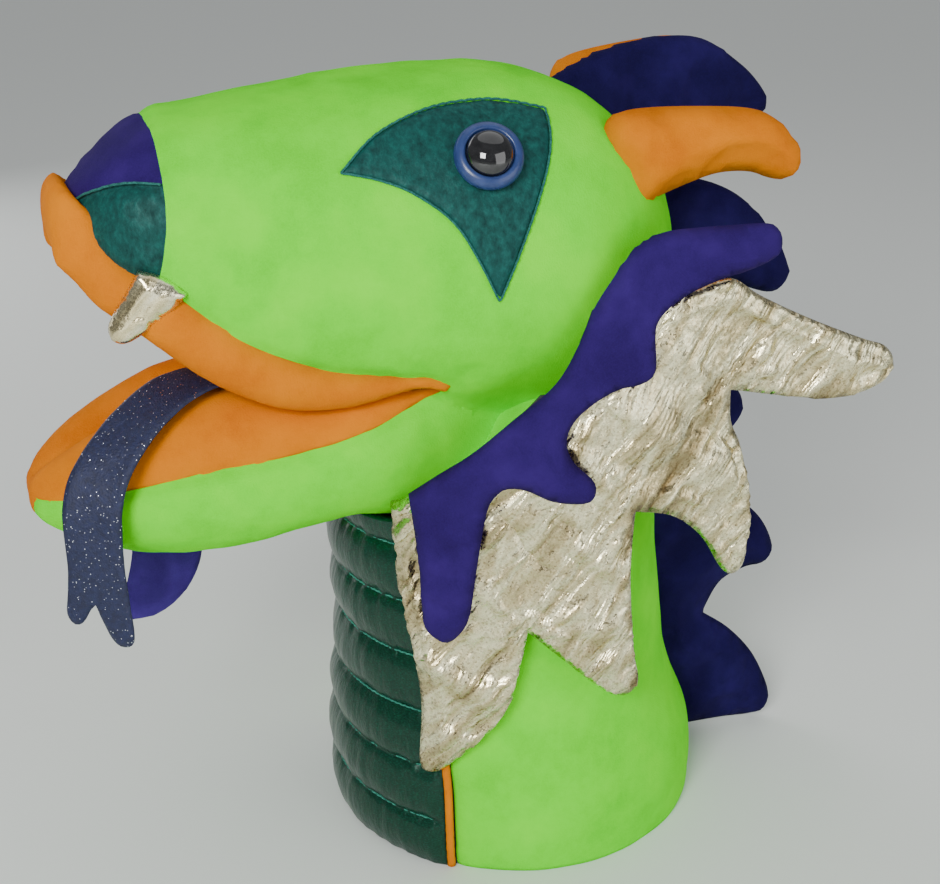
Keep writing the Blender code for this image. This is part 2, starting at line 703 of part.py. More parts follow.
def add_jaw(puppet):
    below = below_curve(LOWER_SEAM, 110)
    inner = jaw_form(-JAW_WALL)
    open_back = box((-60, -70, 150), (60, -40, 240))

    shell = cut(keep(jaw_form(), below), inner, moved(inner, Matrix.Translation((0, 20, 0))))
    puppet.add("jaw_skin", shell, "lime_plush")

    lining = cut(jaw_form(), below_curve([(y, z + GAP) for y, z in LOWER_SEAM], 110))
    puppet.add("lower_mouth_lining", lining, "orange_plush")

    board = board_mesh(LOWER_SEAM[:5], -BOARD_OFFSET - BOARD_THICKNESS, -BOARD_OFFSET, 84.0)
    board = keep(board, jaw_form(-JAW_WALL - GAP))
    puppet.add("lower_mouth_board", cut(board, behind(-70.0)), "mouth_board")

    puppet.add("thumb_pocket", pocket_mesh(*THUMB_POCKET), "lining_cloth")

    low, high = THUMB_POCKET
    filling = cut(
        keep(jaw_form(-JAW_WALL - GAP), below_curve([(y, z - 3.4) for y, z in LOWER_SEAM], 110)),
        box(low - Vector((GAP, GAP, GAP)), high + Vector((GAP, 60, 60))),
        open_back,
    )
    puppet.add("jaw_stuffing", filling, "stuffing")

    beard_shape = outline(
        [(-178, 175), (-178, 152), (-183, 140), (-187, 126), (-184, 118)],
        [(-184, 118), (-171, 119), (-160, 127), (-153, 140), (-151, 152), (-151, 175)],
        [(-151, 175), (-178, 175)],
    )
    puppet.add("beard", cut(side_plate(beard_shape, 0.0, BEARD_THICKNESS), jaw_form(GAP)), "purple_plush")

    axis = Matrix.Translation((-TAPE_HALF_LENGTH, *MOUTH_HINGE)) @ Matrix.Rotation(QUARTER_TURN, 4, "Y")
    puppet.add("mouth_hinge_tape", cylinder(TAPE_RADIUS, 2 * TAPE_HALF_LENGTH, axis, 12), "lining_cloth")


def ribbon(centres, across, thickness):
    """A flat strip through centres, each with its own half-width vector."""
    rings = []
    for i, (centre, side) in enumerate(zip(centres, across)):
        centre, side = Vector(centre), Vector(side)
        ahead = Vector(centres[min(i + 1, len(centres) - 1)]) - Vector(centres[max(i - 1, 0)])
        up = ahead.cross(side).normalized() * (thickness / 2)
        rings.append([centre - side - up, centre + side - up, centre + side + up, centre - side + up])
    return loft(rings)


def add_tongue(puppet):
    """The tongue lies along the mouth and drops over the left front of the lip, where it swings."""
    on_jaw = [
        ((2, -92, 218), (12, 0, 0)),
        ((3, -120, 215.6), (12, 1, 0)),
        ((8, -148, 214), (11, 6, 0)),
        ((19, -170, 212.6), (9, 9, 0)),
        ((31, -186, 209.5), (7.5, 10.5, 0)),
        ((39, -195, 204), (7, 11.3, 0)),
    ]
    hanging = [
        ((42, -199, 200.5), (7, 11.3, 0)),
        ((45, -201, 194), (7, 11.3, 0)),
        ((46.5, -202, 184), (7, 11.3, 0)),
        ((46.5, -202, 166), (7, 11.3, 0)),
        ((46.5, -202, 148), (7, 11.3, 0)),
        ((46, -201.5, 132), (7.5, 12, 0)),
    ]
    puppet.add("tongue_root", ribbon(*zip(*on_jaw), TONGUE_THICKNESS), "glitter_cloth")
    through = Matrix.Rotation(math.radians(58), 4, "Z") @ Matrix.Rotation(QUARTER_TURN, 4, "X")
    notch = cylinder(5.0, 40.0, Matrix.Translation((29, -191, 132)) @ through, 3)
    puppet.add("tongue_tip", cut(ribbon(*zip(*hanging), TONGUE_THICKNESS), notch), "glitter_cloth")


def main():
    clear_scene()
    puppet = Puppet()
    add_neck(puppet)
    add_frills(puppet)
    add_head_shell(puppet)
    add_head_inside(puppet)
    add_eyes(puppet)
    add_crown(puppet)
    add_jaw(puppet)
    add_tongue(puppet)


main()
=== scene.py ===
"""Looks of the dragon hand puppet: plush skins, padded frills and fins, quilted belly and plastic eyes.

Shapes are worked out in millimetres from the middle of the sleeve's hem, with the muzzle towards -Y and the
puppet's left side at +X, and become metres in the frame's own axes when a piece is made.
"""

import math

import bpy
import numpy as np
from mathutils import Matrix, Vector, geometry, noise
from mathutils.bvhtree import BVHTree


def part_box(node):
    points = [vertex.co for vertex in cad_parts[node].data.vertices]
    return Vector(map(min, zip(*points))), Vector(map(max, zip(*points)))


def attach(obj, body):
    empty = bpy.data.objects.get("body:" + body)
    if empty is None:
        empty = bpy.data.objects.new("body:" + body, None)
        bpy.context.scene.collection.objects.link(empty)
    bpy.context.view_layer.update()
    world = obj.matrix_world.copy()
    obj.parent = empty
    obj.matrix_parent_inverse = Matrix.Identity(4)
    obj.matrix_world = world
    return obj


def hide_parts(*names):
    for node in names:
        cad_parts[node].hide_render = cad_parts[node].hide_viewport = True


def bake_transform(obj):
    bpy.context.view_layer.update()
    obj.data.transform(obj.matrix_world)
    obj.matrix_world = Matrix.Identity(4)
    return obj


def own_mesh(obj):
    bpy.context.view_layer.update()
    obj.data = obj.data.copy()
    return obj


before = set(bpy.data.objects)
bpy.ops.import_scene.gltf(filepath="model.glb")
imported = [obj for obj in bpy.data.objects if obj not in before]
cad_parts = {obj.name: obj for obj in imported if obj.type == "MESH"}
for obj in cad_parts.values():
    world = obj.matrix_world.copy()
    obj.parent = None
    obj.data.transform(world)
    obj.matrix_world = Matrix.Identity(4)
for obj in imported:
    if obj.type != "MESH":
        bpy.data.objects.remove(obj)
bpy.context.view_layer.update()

MM = 0.001
HEM_LOW, HEM_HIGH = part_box("hem_band")
HEM_Y = (HEM_LOW.y + HEM_HIGH.y) / 2  # the design's origin, in the frame's metres

HINGE = Vector((0.0, -60.0, 228.0))  # corners of the mouth

# Cross-sections along y: (y, top z, bottom z, half width, z of the widest level)
HEAD_SECTIONS = [
    (68, 286, 258, 13, 272),
    (61, 303, 240, 33, 272),
    (48, 322, 224, 53, 273),
    (30, 339, 208, 67, 273),
    (8, 350, 199, 76, 273),
    (-16, 355, 199, 78, 273),
    (-40, 356, 205, 76.5, 273),
    (-60, 355, 212, 73, 274),
    (-88, 352.5, 218, 67, 276),
    (-113, 349, 222, 61.5, 280),
    (-138, 346, 228, 56, 285),
    (-158, 342, 240, 51, 291),
    (-172, 334.5, 254, 44, 297),
    (-184, 325.5, 268, 34.5, 300),
    (-193, 316.5, 284, 22, 302),
    (-197.5, 309.5, 295, 10, 303),
]
JAW_SECTIONS = [
    (-8, 226, 160, 40, 200),
    (-34, 238, 154, 51, 204),
    (-60, 240, 158, 55, 203),
    (-84, 232, 163.5, 55.5, 199),
    (-110, 224, 161.5, 54, 196),
    (-136, 217, 156.5, 52, 193),
    (-160, 213, 155.5, 50, 192),
    (-182, 209, 159.5, 46.5, 190),
    (-200, 204, 166, 39.5, 188),
    (-213, 199, 171.5, 29, 186.5),
    (-221.5, 193, 178, 14, 186),
]
# Sewn edges of the mouth, seen from the side, from corner to tip
UPPER_SEAM = [(-55, 231), (-62, 235.5), (-90, 238.5), (-110, 244), (-138, 258), (-165, 280.5), (-178, 286),
              (-187, 292), (-204, 314)]
LOWER_SEAM = [(-55, 229), (-59, 225), (-75, 217), (-95, 210.5), (-126, 204.5), (-158, 201), (-190, 195.5),
              (-226, 186)]
NOSE_Y = -162.0
NOSE_BOW = 4.5  # the nose seam bows this far forward at its lower end
PATCH_LINE = [(-201, 300), (-195, 309), (-186, 316), (-173, 320), (-150, 319)]
SLANT = np.array([[0.6, 0, 0], [0, 0.8, 0.45], [0, 1.1, -0.9]])  # slack folds in the plush run aslant
SEAM_DEPTH = 1.3
SEAM_WIDTH = 2.6

# The sleeve: (z, y of the middle, outer radius)
NECK_SECTIONS = [
    (0, 0.6, 87.6),
    (10, 0.3, 88.3),
    (25, 0, 88.8),
    (42, -1.2, 87.2),
    (60, -4.4, 83.3),
    (80, -6.7, 79.6),
    (100, -7.7, 77.7),
    (130, -10, 76.7),
    (160, -11, 76.0),
    (200, -10.5, 76.2),
    (246, -10, 77.2),
]
RIM = [(-110, 166), (-86, 167), (-72, 169), (-56, 180), (-40, 202), (-18, 221), (20, 234), (100, 234)]
SIDE_RIM = [(-60, 188), (-54, 194), (-40, 210), (-18, 229), (20, 238), (100, 234)]  # beside the belly panel
COLLAR_SHELF = 30.0  # how far the sleeve's rim turns in under the cheeks
BELLY_HALF_ANGLE = math.radians(50)
CHANNEL_PITCH = 26.5
CHANNEL_BULGE = 4.2

FRILL_RADIUS = 90.0
FRILL_TUCK = 12.0
TUCK_REACH = 20.0
SEAM_OFFSET = 268.0

GOLD_OUTLINE = [
    [(20, 266), (42, 273), (57, 276), (72, 267), (94, 256), (120, 245), (131, 241), (137, 235), (137, 229),
     (131, 223), (110, 219), (84, 222), (61, 227)],
    [(61, 227), (62, 213), (68, 200), (74, 175), (74, 150), (72, 142), (67, 140), (61, 145), (50, 162),
     (34, 175),
     (16, 180)],
    [(16, 180), (15, 151), (18, 115), (21, 99), (17, 93), (11, 93), (4, 97), (-16, 115), (-29, 126)],
    [(-29, 126), (-32, 110), (-38, 88), (-50, 72), (-62, 60), (-70, 54), (-77, 57), (-76, 88), (-80, 116),
     (-87, 147), (-92, 181)],
    [(-92, 181), (-80, 186), (-45, 208), (-10, 234), (20, 266)],
]
# Tight corners of the gold frill that creases fan out from: (s, z, number of creases, reach)
GOLD_PULLS = [(61, 227, 14, 34), (16, 180, 15, 38), (-29, 126, 14, 32), (137, 230, 9, 26), (68, 138, 9, 24),
              (17, 91, 9, 24), (-72, 54, 9, 26), (30, 262, 12, 30), (-20, 236, 11, 30), (-70, 180, 10, 30)]
PURPLE_OUTLINE = [
    [(-84, 190), (-70, 201), (-55, 212), (-39, 225), (-21, 238), (-10, 252), (0, 268), (7, 278), (16, 289),
     (27, 295), (41, 297), (67, 299), (74, 296), (76, 290), (74, 285), (64, 281), (47, 277), (32, 270),
     (22, 260),
     (20, 243), (14, 238), (5, 236), (-6, 230), (-14, 223), (-17, 215), (-14, 207), (-6, 199), (-5, 193),
     (-9, 189), (-22, 190), (-33, 195), (-41, 196), (-46, 193), (-50, 185), (-54, 160), (-57, 138),
     (-61, 129),
     (-67, 124), (-73, 127), (-77, 133), (-79, 156), (-84, 190)],
]
CREST_OUTLINE = [
    [(2, 340), (19, 349), (38, 357), (62, 362), (87, 361), (108, 349), (119, 339), (123, 332), (121, 326),
     (104, 320), (84, 311), (66, 302), (40, 300)],
    [(40, 300), (2, 340)],
]
NAPE_OUTLINE = [
    [(50, 298), (72, 297), (88, 298), (112, 288), (133, 267), (142, 250), (139, 242), (132, 239.5),
     (120, 243),
     (108, 248), (88, 250), (60, 252)],
    [(60, 252), (50, 298)],
]
RIDGE_OUTLINE = [
    [(58, 208), (84, 209), (104, 203), (119, 190), (121, 178), (112, 168), (98, 161), (90, 150)],
    [(90, 150), (104, 143), (125, 130), (138, 117), (145, 102), (143, 95), (138, 92.5), (129, 92), (115, 86),
     (106, 70)],
    [(106, 70), (122, 58), (137, 41), (147, 22), (150, 11), (147, 4), (138, 2.5), (120, 4), (84, 5)],
    [(84, 5), (76, 50), (64, 110), (58, 208)],
]
BEARD_OUTLINE = [
    [(-181, 168), (-181, 152), (-184, 138), (-188, 126), (-187, 120), (-183, 117.5), (-171, 119), (-160, 127),
     (-153, 138), (-150, 150), (-149, 168)],
    [(-149, 168), (-181, 168)],
]
HORN_OUTLINE = [
    [(31, 297), (24, 306), (19, 320), (18, 330), (23, 337), (34, 339.5), (58, 339.5), (84, 337.5), (97, 331),
     (105, 321), (105.5, 312), (101, 307), (93, 308), (84, 311), (70, 311), (56, 307), (43, 302), (31, 297)],
]
HORN_TILT = 8.0  # degrees by which the right horn points higher than the left
HORN_SHIFT = (4.0, 17.0, 11.0)
EYE_PATCH_OUTLINE = [
    [(-96, 322), (-80, 334.5), (-56, 343), (-30, 345), (-8, 341)],
    [(-8, 341), (-11, 329), (-24, 302), (-38, 271)],
    [(-38, 271), (-53, 300), (-68, 313), (-82, 319), (-96, 322)],
]

SIDES = (("left", 1), ("right", -1))
HEAD_POWER = 2.3  # how square the cross-sections are: 2 is an ellipse
JAW_POWER = 2.4
HULL_VOXEL = 3.0
LINING_VOXEL = 2.6
LINING_INSET = 1.7
NOSE_STRIP = 9.0  # half the width of nose between the two nostril patches
ARC = 80.0  # the sleeve's radius, for turning angles into lengths
SLEEVE_THICKNESS = 2.0
CLOTH_FRAMES = 20
SEAM_PLAY = 0.022  # radians between the belly panel and the rest of the sleeve
FOLD_TURN = math.radians(-36)  # how far the frills' folds lean from upright
TONGUE_HALF_WIDTH = 13.4
CAMERA_AZIMUTH = math.radians(70)
CAMERA_ELEVATION = math.radians(21)
CAMERA_DISTANCE = 0.70
CAMERA_LENS = 57.4


# -------------------- arithmetic on curves


def smooth_run(points, steps):
    """An open Catmull-Rom curve through points of any number of coordinates."""
    p = np.array([points[0], *points, points[-1]], float)
    t = (np.arange(steps) / steps)[:, None]
    runs = []
    for a, b, c, d in zip(p, p[1:], p[2:], p[3:]):
        runs.append(0.5 * (2 * b + (c - a) * t + (2 * a - 5 * b + 4 * c - d) * t**2
                           + (3 * b - a - 3 * c + d) * t**3))
    return np.vstack([*runs, p[-1:]])


def closed_outline(runs, steps=6):
    """A closed outline from smooth runs that meet at corners."""
    return np.vstack([smooth_run(r, steps if len(r) > 2 else 1)[:-1] for r in runs])


def resample(loop, spacing):
    """The closed loop again, with points an even distance apart."""
    ring = np.vstack([loop, loop[:1]])
    lengths = np.r_[0, np.cumsum(np.linalg.norm(np.diff(ring, axis=0), axis=1))]
    count = max(8, int(round(lengths[-1] / spacing)))
    at = np.linspace(0, lengths[-1], count, endpoint=False)
    return np.stack([np.interp(at, lengths, ring[:, k]) for k in range(ring.shape[1])], 1)


def outline_distance(points, loop):
    """Distance from each 2D point to the loop, positive inside it."""
    a, b = loop, np.roll(loop, -1, axis=0)
    edge = b - a
    best = np.full(len(points), 1e9)
    crossings = np.zeros(len(points), int)
    for start, step in zip(a, edge):
        rel = points - start
        t = np.clip(rel @ step / (step @ step), 0, 1)
        best = np.minimum(best, np.linalg.norm(rel - t[:, None] * step, axis=1))
        low, high = start[1], start[1] + step[1]
        spans = (points[:, 1] > min(low, high)) & (points[:, 1] <= max(low, high))
        if abs(step[1]) > 1e-9:
            x = start[0] + (points[:, 1] - low) / step[1] * step[0]
            crossings += spans & (points[:, 0] < x)
    return np.where(crossings % 2 == 1, best, -best)


def along(curve, key):
    """The curve's second coordinate at given first coordinates."""
    fine = smooth_run(curve, 8)
    order = np.argsort(fine[:, 0])
    return np.interp(key, fine[order, 0], fine[order, 1])


def wander(points, scale, seed):
    """Smooth noise from -1 to 1 at each point; scale is the size of its lumps."""
    shift = Vector((seed * 17.3, seed * 7.1, seed * 3.7))
    return np.array([noise.noise(Vector(p) / scale + shift) for p in points])


def smoothstep(x):
    t = np.clip(x, 0, 1)
    return t * t * (3 - 2 * t)


def unit(rows):
    """The rows of an array, each scaled to a length of 1."""
    return rows / np.linalg.norm(rows, axis=1)[:, None]


def round_angles(count):
    return np.linspace(0, 2 * np.pi, count, endpoint=False)


# -------------------- meshes


def to_frame(points):
    """Design millimetres to the frame's metres."""
    return np.asarray(points, float) * MM + np.array([0, HEM_Y, 0])


def new_object(name, points, faces):
    """An object in the scene, with a new mesh of these points and faces."""
    mesh = bpy.data.meshes.new(name)
    mesh.from_pydata(np.asarray(points, float).tolist(), [], [list(map(int, f)) for f in faces])
    obj = bpy.data.objects.new(name, mesh)
    bpy.context.scene.collection.objects.link(obj)
    return obj


def make_piece(name, points, faces, look, body=None, replaced=(), fill=None):
    """A visible piece with the material of a look. It rides a body and replaces CAD nodes where these are
    given. Fill is not used."""
    obj = new_object(name, to_frame(points), faces)
    obj.data.validate()
    obj.data.materials.append(MATERIALS[look])
    obj.data.shade_smooth()
    if body:
        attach(obj, body)
    if replaced:
        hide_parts(*replaced)
    return obj


def mesh_arrays(mesh):
    points = np.zeros(len(mesh.vertices) * 3)
    mesh.vertices.foreach_get("co", points)
    return points.reshape(-1, 3), [list(p.vertices) for p in mesh.polygons]


def baked_arrays(obj):
    """The points and faces of an object after its modifiers. The object itself goes."""
    made = bpy.data.meshes.new_from_object(obj.evaluated_get(bpy.context.evaluated_depsgraph_get()))
    result = mesh_arrays(made)
    bpy.data.objects.remove(obj)
    bpy.data.meshes.remove(made)
    return result


def fused(parts, voxel, smoothing):
    """One smooth skin round overlapping closed parts."""
    points, faces, count = [], [], 0
    for p, f in parts:
        points.append(p)
        faces += [[i + count for i in face] for face in f]
        count += len(p)
    obj = new_object("fused", np.vstack(points), faces)
    remesh = obj.modifiers.new("skin", "REMESH")
    remesh.mode = "VOXEL"
    remesh.voxel_size = voxel
    smooth = obj.modifiers.new("relax", "SMOOTH")
    smooth.factor = 0.5
    smooth.iterations = smoothing
    return baked_arrays(obj)


def subdivided(points, faces):
    obj = new_object("subdivided", points, faces)
    obj.modifiers.new("fine", "SUBSURF").levels = 1
    return baked_arrays(obj)


def vertex_normals(points, faces):
    points = np.asarray(points)
    total = np.zeros_like(points)
    for face in faces:
        a, b, c = points[face[0]], points[face[1]], points[face[-1]]
        total[face] += np.cross(b - a, c - a)
    length = np.linalg.norm(total, axis=1)[:, None]
    return total / np.maximum(length, 1e-9)


def clip(points, faces, values):
    """The part of a surface where the values are positive, cut cleanly along zero."""
    index, out, kept = {}, [], []
    values = np.asarray(values, float)

    def place(key, make):
        if key not in index:
            index[key] = len(out)
            out.append(make())
        return index[key]

    def crossing(i, j):
        i, j = min(i, j), max(i, j)
        t = values[i] / (values[i] - values[j])
        return place((i, j), lambda: points[i] + t * (points[j] - points[i]))

    positive = values >= 0
    for face in faces:
        inside = positive[face]
        if not inside.any():
            continue
        ring = []
        for a, b in zip(face, face[1:] + face[:1]):
            if positive[a]:
                ring.append(place(a, lambda: points[a]))
            if positive[a] != positive[b]:
                ring.append(crossing(a, b))
        if len(ring) >= 3:
            kept.append(ring)
    return np.array(out), kept


def section_loft(sections, power, steps=6, count=64):
    """A closed form from cross-sections along y."""
    fine = smooth_run(sections, steps)
    angle = round_angles(count)
    c, s = np.cos(angle), np.sin(angle)
    rings = []
    for y, top, bottom, width, middle in fine:
        height = np.where(s > 0, top - middle, middle - bottom)
        x = np.sign(c) * np.abs(c) ** (2 / power) * width
        z = middle + np.sign(s) * np.abs(s) ** (2 / power) * height
        rings.append(np.stack([x, np.full(count, y), z], 1))
    return ring_loft(rings)


def ring_loft(rings, capped=True):
    """A skin over rings of equal count, with a fan at each end if capped."""
    count = len(rings[0])
    points = [*rings]
    faces = []
    for r in range(len(rings) - 1):
        for k in range(count):
            n = (k + 1) % count
            faces.append([r * count + k, r * count + n, (r + 1) * count + n, (r + 1) * count + k])
    if capped:
        start, end = len(rings) * count, len(rings) * count + 1
        points.append(np.mean(rings[0], axis=0)[None])
        points.append(np.mean(rings[-1], axis=0)[None])
        last = (len(rings) - 1) * count
        for k in range(count):
            n = (k + 1) % count
            faces.append([start, n, k])
            faces.append([end, last + k, last + n])
    return np.vstack(points), faces


def tube(path, radii, count=10, capped=True):
    """A round tube along a path, with a radius for each point."""
    path = np.asarray(path, float)
    radii = np.broadcast_to(radii, len(path))
    tangent = unit(np.gradient(path, axis=0))
    side = np.cross(tangent[0], [0.3, 0.2, 1.0])
    rings = []
    angle = round_angles(count)[:, None]
    for centre, t, r in zip(path, tangent, radii):
        side = side - t * (side @ t)
        side /= np.linalg.norm(side)
        up = np.cross(t, side)
        rings.append(centre + r * (np.cos(angle) * side + np.sin(angle) * up))
    return ring_loft(rings, capped)


# -------------------- padded pieces


def filled(loop, spacing):
    """Points and triangles inside a 2D loop, with the rim's points first."""
    rim = resample(loop, spacing)
    low, high = rim.min(0), rim.max(0)
    rows = np.arange(low[1], high[1], spacing * math.sqrt(3) / 2)
    lattice = []
    for i, v in enumerate(rows):
        us = np.arange(low[0] + (i % 2) * spacing / 2, high[0], spacing)
        lattice += [(u, v) for u in us]
    lattice = np.array(lattice)
    inner = lattice[outline_distance(lattice, rim) > spacing * 0.55]
    points = np.vstack([rim, inner])
    made = geometry.delaunay_2d_cdt([Vector(p) for p in points], [], [list(range(len(rim)))], 1, 1e-5)
    flat = np.array([tuple(p) for p in made[0]])
    return flat, [list(f) for f in made[2]]


def pillow(loop, thickness, spacing=3.0, edge=None, slack=0.05, pressure=4.0, cap=9.0, seed=0, gather=0.12,
           pulls=()):
    """A stuffed flat shape: two cloths sewn round their outline and blown up until they wrinkle.
    Its points are (u, v, out),
    and out runs from about -thickness / 2 to thickness / 2. The gather is how deep
    the puckers along the seam are, and pulls are places that creases run out from."""
    flat, triangles = filled(loop, spacing)
    rim = resample(loop, spacing)
    depth = np.maximum(outline_distance(flat, rim), 0)
    on_rim = depth < 0.05 * spacing
    edge = edge or thickness * 1.1
    swell = thickness / 2 * np.sqrt(1 - (1 - np.minimum(depth / edge, 1)) ** 2)
    swell = np.where(on_rim, 0, np.maximum(swell, 0.25))
    lumps = 1 + 0.10 * wander(np.c_[flat, np.zeros(len(flat))], 26, seed)
    front = np.c_[flat, swell * lumps]
    back_index = np.full(len(flat), -1)
    back_index[on_rim] = np.flatnonzero(on_rim)
    back_index[~on_rim] = len(flat) + np.arange((~on_rim).sum())
    back = np.c_[flat[~on_rim], -(swell * lumps)[~on_rim]]
    points = np.vstack([front, back])
    faces = triangles + [[back_index[i] for i in reversed(t)] for t in triangles]
    points = blown_up(points, faces, np.flatnonzero(on_rim), slack, pressure, cap)
    full_depth = np.r_[depth, depth[~on_rim]]
    full_flat = np.vstack([flat, flat[~on_rim]])
    points = fitted(points, thickness)
    points[:, 2] *= puckers(full_flat, full_depth, rim, gather, seed) * creases_from(full_flat, pulls, seed)
    return points, faces


def puckers(flat, depth, rim, gather, seed):
    """Thickness factors for the gathers that run in from a sewn rim."""
    nearest = np.array([np.argmin(((rim - p) ** 2).sum(1)) for p in flat])
    length = nearest * np.linalg.norm(rim[1] - rim[0])
    uneven = wander(np.c_[length, 0 * length, 0 * length], 16, seed)
    wave = 0.5 - 0.5 * np.sin(length * 2 * np.pi / 7.5 + 3 * uneven)
    return 1 - gather * wave * np.exp(-depth / 6.5) * (0.6 + 0.6 * uneven)


def creases_from(flat, pulls, seed):
    """Thickness factors for creases that fan out from tight corners, (u, v, folds, reach)."""
    factor = np.ones(len(flat))
    for u, v, folds, reach in pulls:
        rel = flat - np.array([u, v])
        distance = np.linalg.norm(rel, axis=1)
        angle = np.arctan2(rel[:, 1], rel[:, 0])
        drift = wander(np.c_[flat, 0 * distance], 26, seed + 5)
        wave = 0.5 + 0.5 * np.cos(folds * angle + 2.2 * drift)
        factor *= (1 - 0.68 * (1 - wave**0.7) * np.exp(-((distance / reach) ** 2))
                   * smoothstep(distance / 5 + 0.3))
    return factor


def blown_up(points, faces, pinned, slack, pressure, cap):
    """Cloth that swells under pressure, held along its seam; slack is how much too big the cloth is."""
    obj = new_object("cloth", points * MM, faces)
    group = obj.vertex_groups.new(name="seam")
    group.add([int(i) for i in pinned], 1.0, "REPLACE")
    cloth = obj.modifiers.new("cloth", "CLOTH")
    settings = cloth.settings
    settings.quality = 6
    settings.mass = 0.15
    settings.tension_stiffness = 18
    settings.compression_stiffness = 18
    settings.shear_stiffness = 6
    settings.bending_stiffness = 0.08
    settings.vertex_group_mass = "seam"
    settings.pin_stiffness = 1.0
    settings.use_pressure = True
    settings.uniform_pressure_force = pressure
    settings.shrink_min = -slack
    settings.shrink_max = -slack
    settings.effector_weights.gravity = 0.0
    cloth.collision_settings.use_self_collision = False
    cloth.collision_settings.use_collision = False
    cloth.point_cache.frame_start = 1
    cloth.point_cache.frame_end = CLOTH_FRAMES
    scene = bpy.context.scene
    for f in range(1, CLOTH_FRAMES + 1):
        scene.frame_set(f)
    moved, _ = baked_arrays(obj)
    scene.frame_set(1)
    step = moved / MM - points
    length = np.linalg.norm(step, axis=1)[:, None]
    return points + step * np.minimum(1, cap / np.maximum(length, 1e-9))


def fitted(points, thickness):
    """The same pillow with its fattest place brought to the given thickness."""
    half = np.percentile(np.abs(points[:, 2]), 99.5)
    return points * [1, 1, (thickness / 2) / half]


def side_placed(points):
    """(u, v, out) with u along y, v up and out along x."""
    return np.stack([points[:, 2], points[:, 0], points[:, 1]], 1)


# -------------------- materials


class Nodes:
    """Short ways to add shader nodes to one material. A value can be a constant or another node's output."""

    def __init__(self, name):
        self.material = bpy.data.materials.new(name)
        self.material.use_nodes = True
        self.tree = self.material.node_tree
        self.shader = self.tree.nodes["Principled BSDF"]
        self.place = self.tree.nodes.new("ShaderNodeTexCoord").outputs["Object"]

    def feed(self, socket, value):
        if isinstance(value, bpy.types.NodeSocket):
            self.tree.links.new(value, socket)
        else:
            socket.default_value = value

    def add(self, kind, **values):
        """A node with these inputs, where an underscore stands for a space."""
        node = self.tree.nodes.new("ShaderNode" + kind)
        for key, value in values.items():
            self.feed(node.inputs[key.replace("_", " ")], value)
        return node

    def set(self, **values):
        """Sets the shader's own inputs."""
        for key, value in values.items():
            self.feed(self.shader.inputs[key.replace("_", " ")], value)

    def noise(self, scale, detail=2.0, rough=0.5, stretch=None, distortion=0.0, turn=0.0):
        place = self.stretched(stretch, turn) if stretch else self.place
        return self.add("TexNoise", Vector=place, Scale=scale, Detail=detail, Roughness=rough,
                        Distortion=distortion).outputs["Fac"]

    def stretched(self, scale, turn=0.0):
        """Places turned about X and then stretched."""
        node = self.add("Mapping", Vector=self.place)
        node.vector_type = "TEXTURE"
        node.inputs["Scale"].default_value = [1 / c for c in scale]
        node.inputs["Rotation"].default_value = (turn, 0, 0)
        return node.outputs["Vector"]

    def cells(self, scale, output="Distance"):
        return self.add("TexVoronoi", Vector=self.place, Scale=scale).outputs[output]

    def split(self, colour):
        node = self.tree.nodes.new("ShaderNodeSeparateColor")
        self.feed(node.inputs[0], colour)
        return node.outputs

    def ramp(self, source, stops):
        """A colour for each value of the source; a stop's colour can be a single grey level."""
        node = self.add("ValToRGB", Fac=source)
        elements = node.color_ramp.elements
        while len(elements) < len(stops):
            elements.new(0.5)
        for element, (position, colour) in zip(elements, stops):
            element.position = position
            element.color = (*(colour if isinstance(colour, tuple) else (colour,) * 3), 1.0)
        return node.outputs["Color"]

    def mix(self, amount, a, b, blend="MIX"):
        node = self.tree.nodes.new("ShaderNodeMix")
        node.data_type = "RGBA"
        node.blend_type = blend
        for index, value in ((0, amount), (6, a), (7, b)):
            self.feed(node.inputs[index], (*value, 1.0) if isinstance(value, tuple) else value)
        return node.outputs[2]

    def product(self, a, b):
        node = self.tree.nodes.new("ShaderNodeMath")
        node.operation = "MULTIPLY"
        self.feed(node.inputs[0], a)
        self.feed(node.inputs[1], b)
        return node.outputs[0]

    def bump(self, height, strength, distance, below=None):
        node = self.add("Bump", Height=height, Strength=strength, Distance=distance)
        if below:
            self.feed(node.inputs["Normal"], below)
        return node.outputs["Normal"]


def plush(name, colour, dark, light, sheen=0.05):
    """Short pile velour: brushed patches, fine pile and a soft edge glow."""
    n = Nodes(name)
    brushed = n.ramp(n.noise(30, 4, 0.6), [(0.34, dark), (0.50, colour), (0.68, light)])
    pile = n.noise(1500, 2, 0.6)
    soft = n.bump(n.noise(90, 3, 0.6), 0.25, 0.0012)
    glow = tuple(min(1, c * 1.3 + 0.05) for c in light)
    n.set(Base_Color=n.mix(n.ramp(pile, [(0.3, 0.0), (0.7, 0.35)]), brushed, light), Roughness=0.95,
          Sheen_Weight=sheen, Sheen_Roughness=0.45, Sheen_Tint=(*glow, 1), Specular_IOR_Level=0.08,
          Normal=n.bump(pile, 0.5, 0.0005, soft))
    return n.material


def panne(name, colour, dark, light):
    """Crushed velvet: glossy pile that lies in patches."""
    n = Nodes(name)
    crush = n.noise(330, 4, 0.7, (1.0, 1.0, 0.7))
    rough = n.bump(n.noise(700, 3, 0.6), 0.35, 0.0005)
    n.set(Base_Color=n.ramp(crush, [(0.30, dark), (0.52, colour), (0.80, light)]),
          Roughness=n.ramp(crush, [(0.3, 0.75), (0.7, 0.45)]), Sheen_Weight=0.02, Sheen_Roughness=0.4,
          Sheen_Tint=(*light, 1), Specular_IOR_Level=0.25, Normal=n.bump(crush, 0.4, 0.0010, rough))
    return n.material


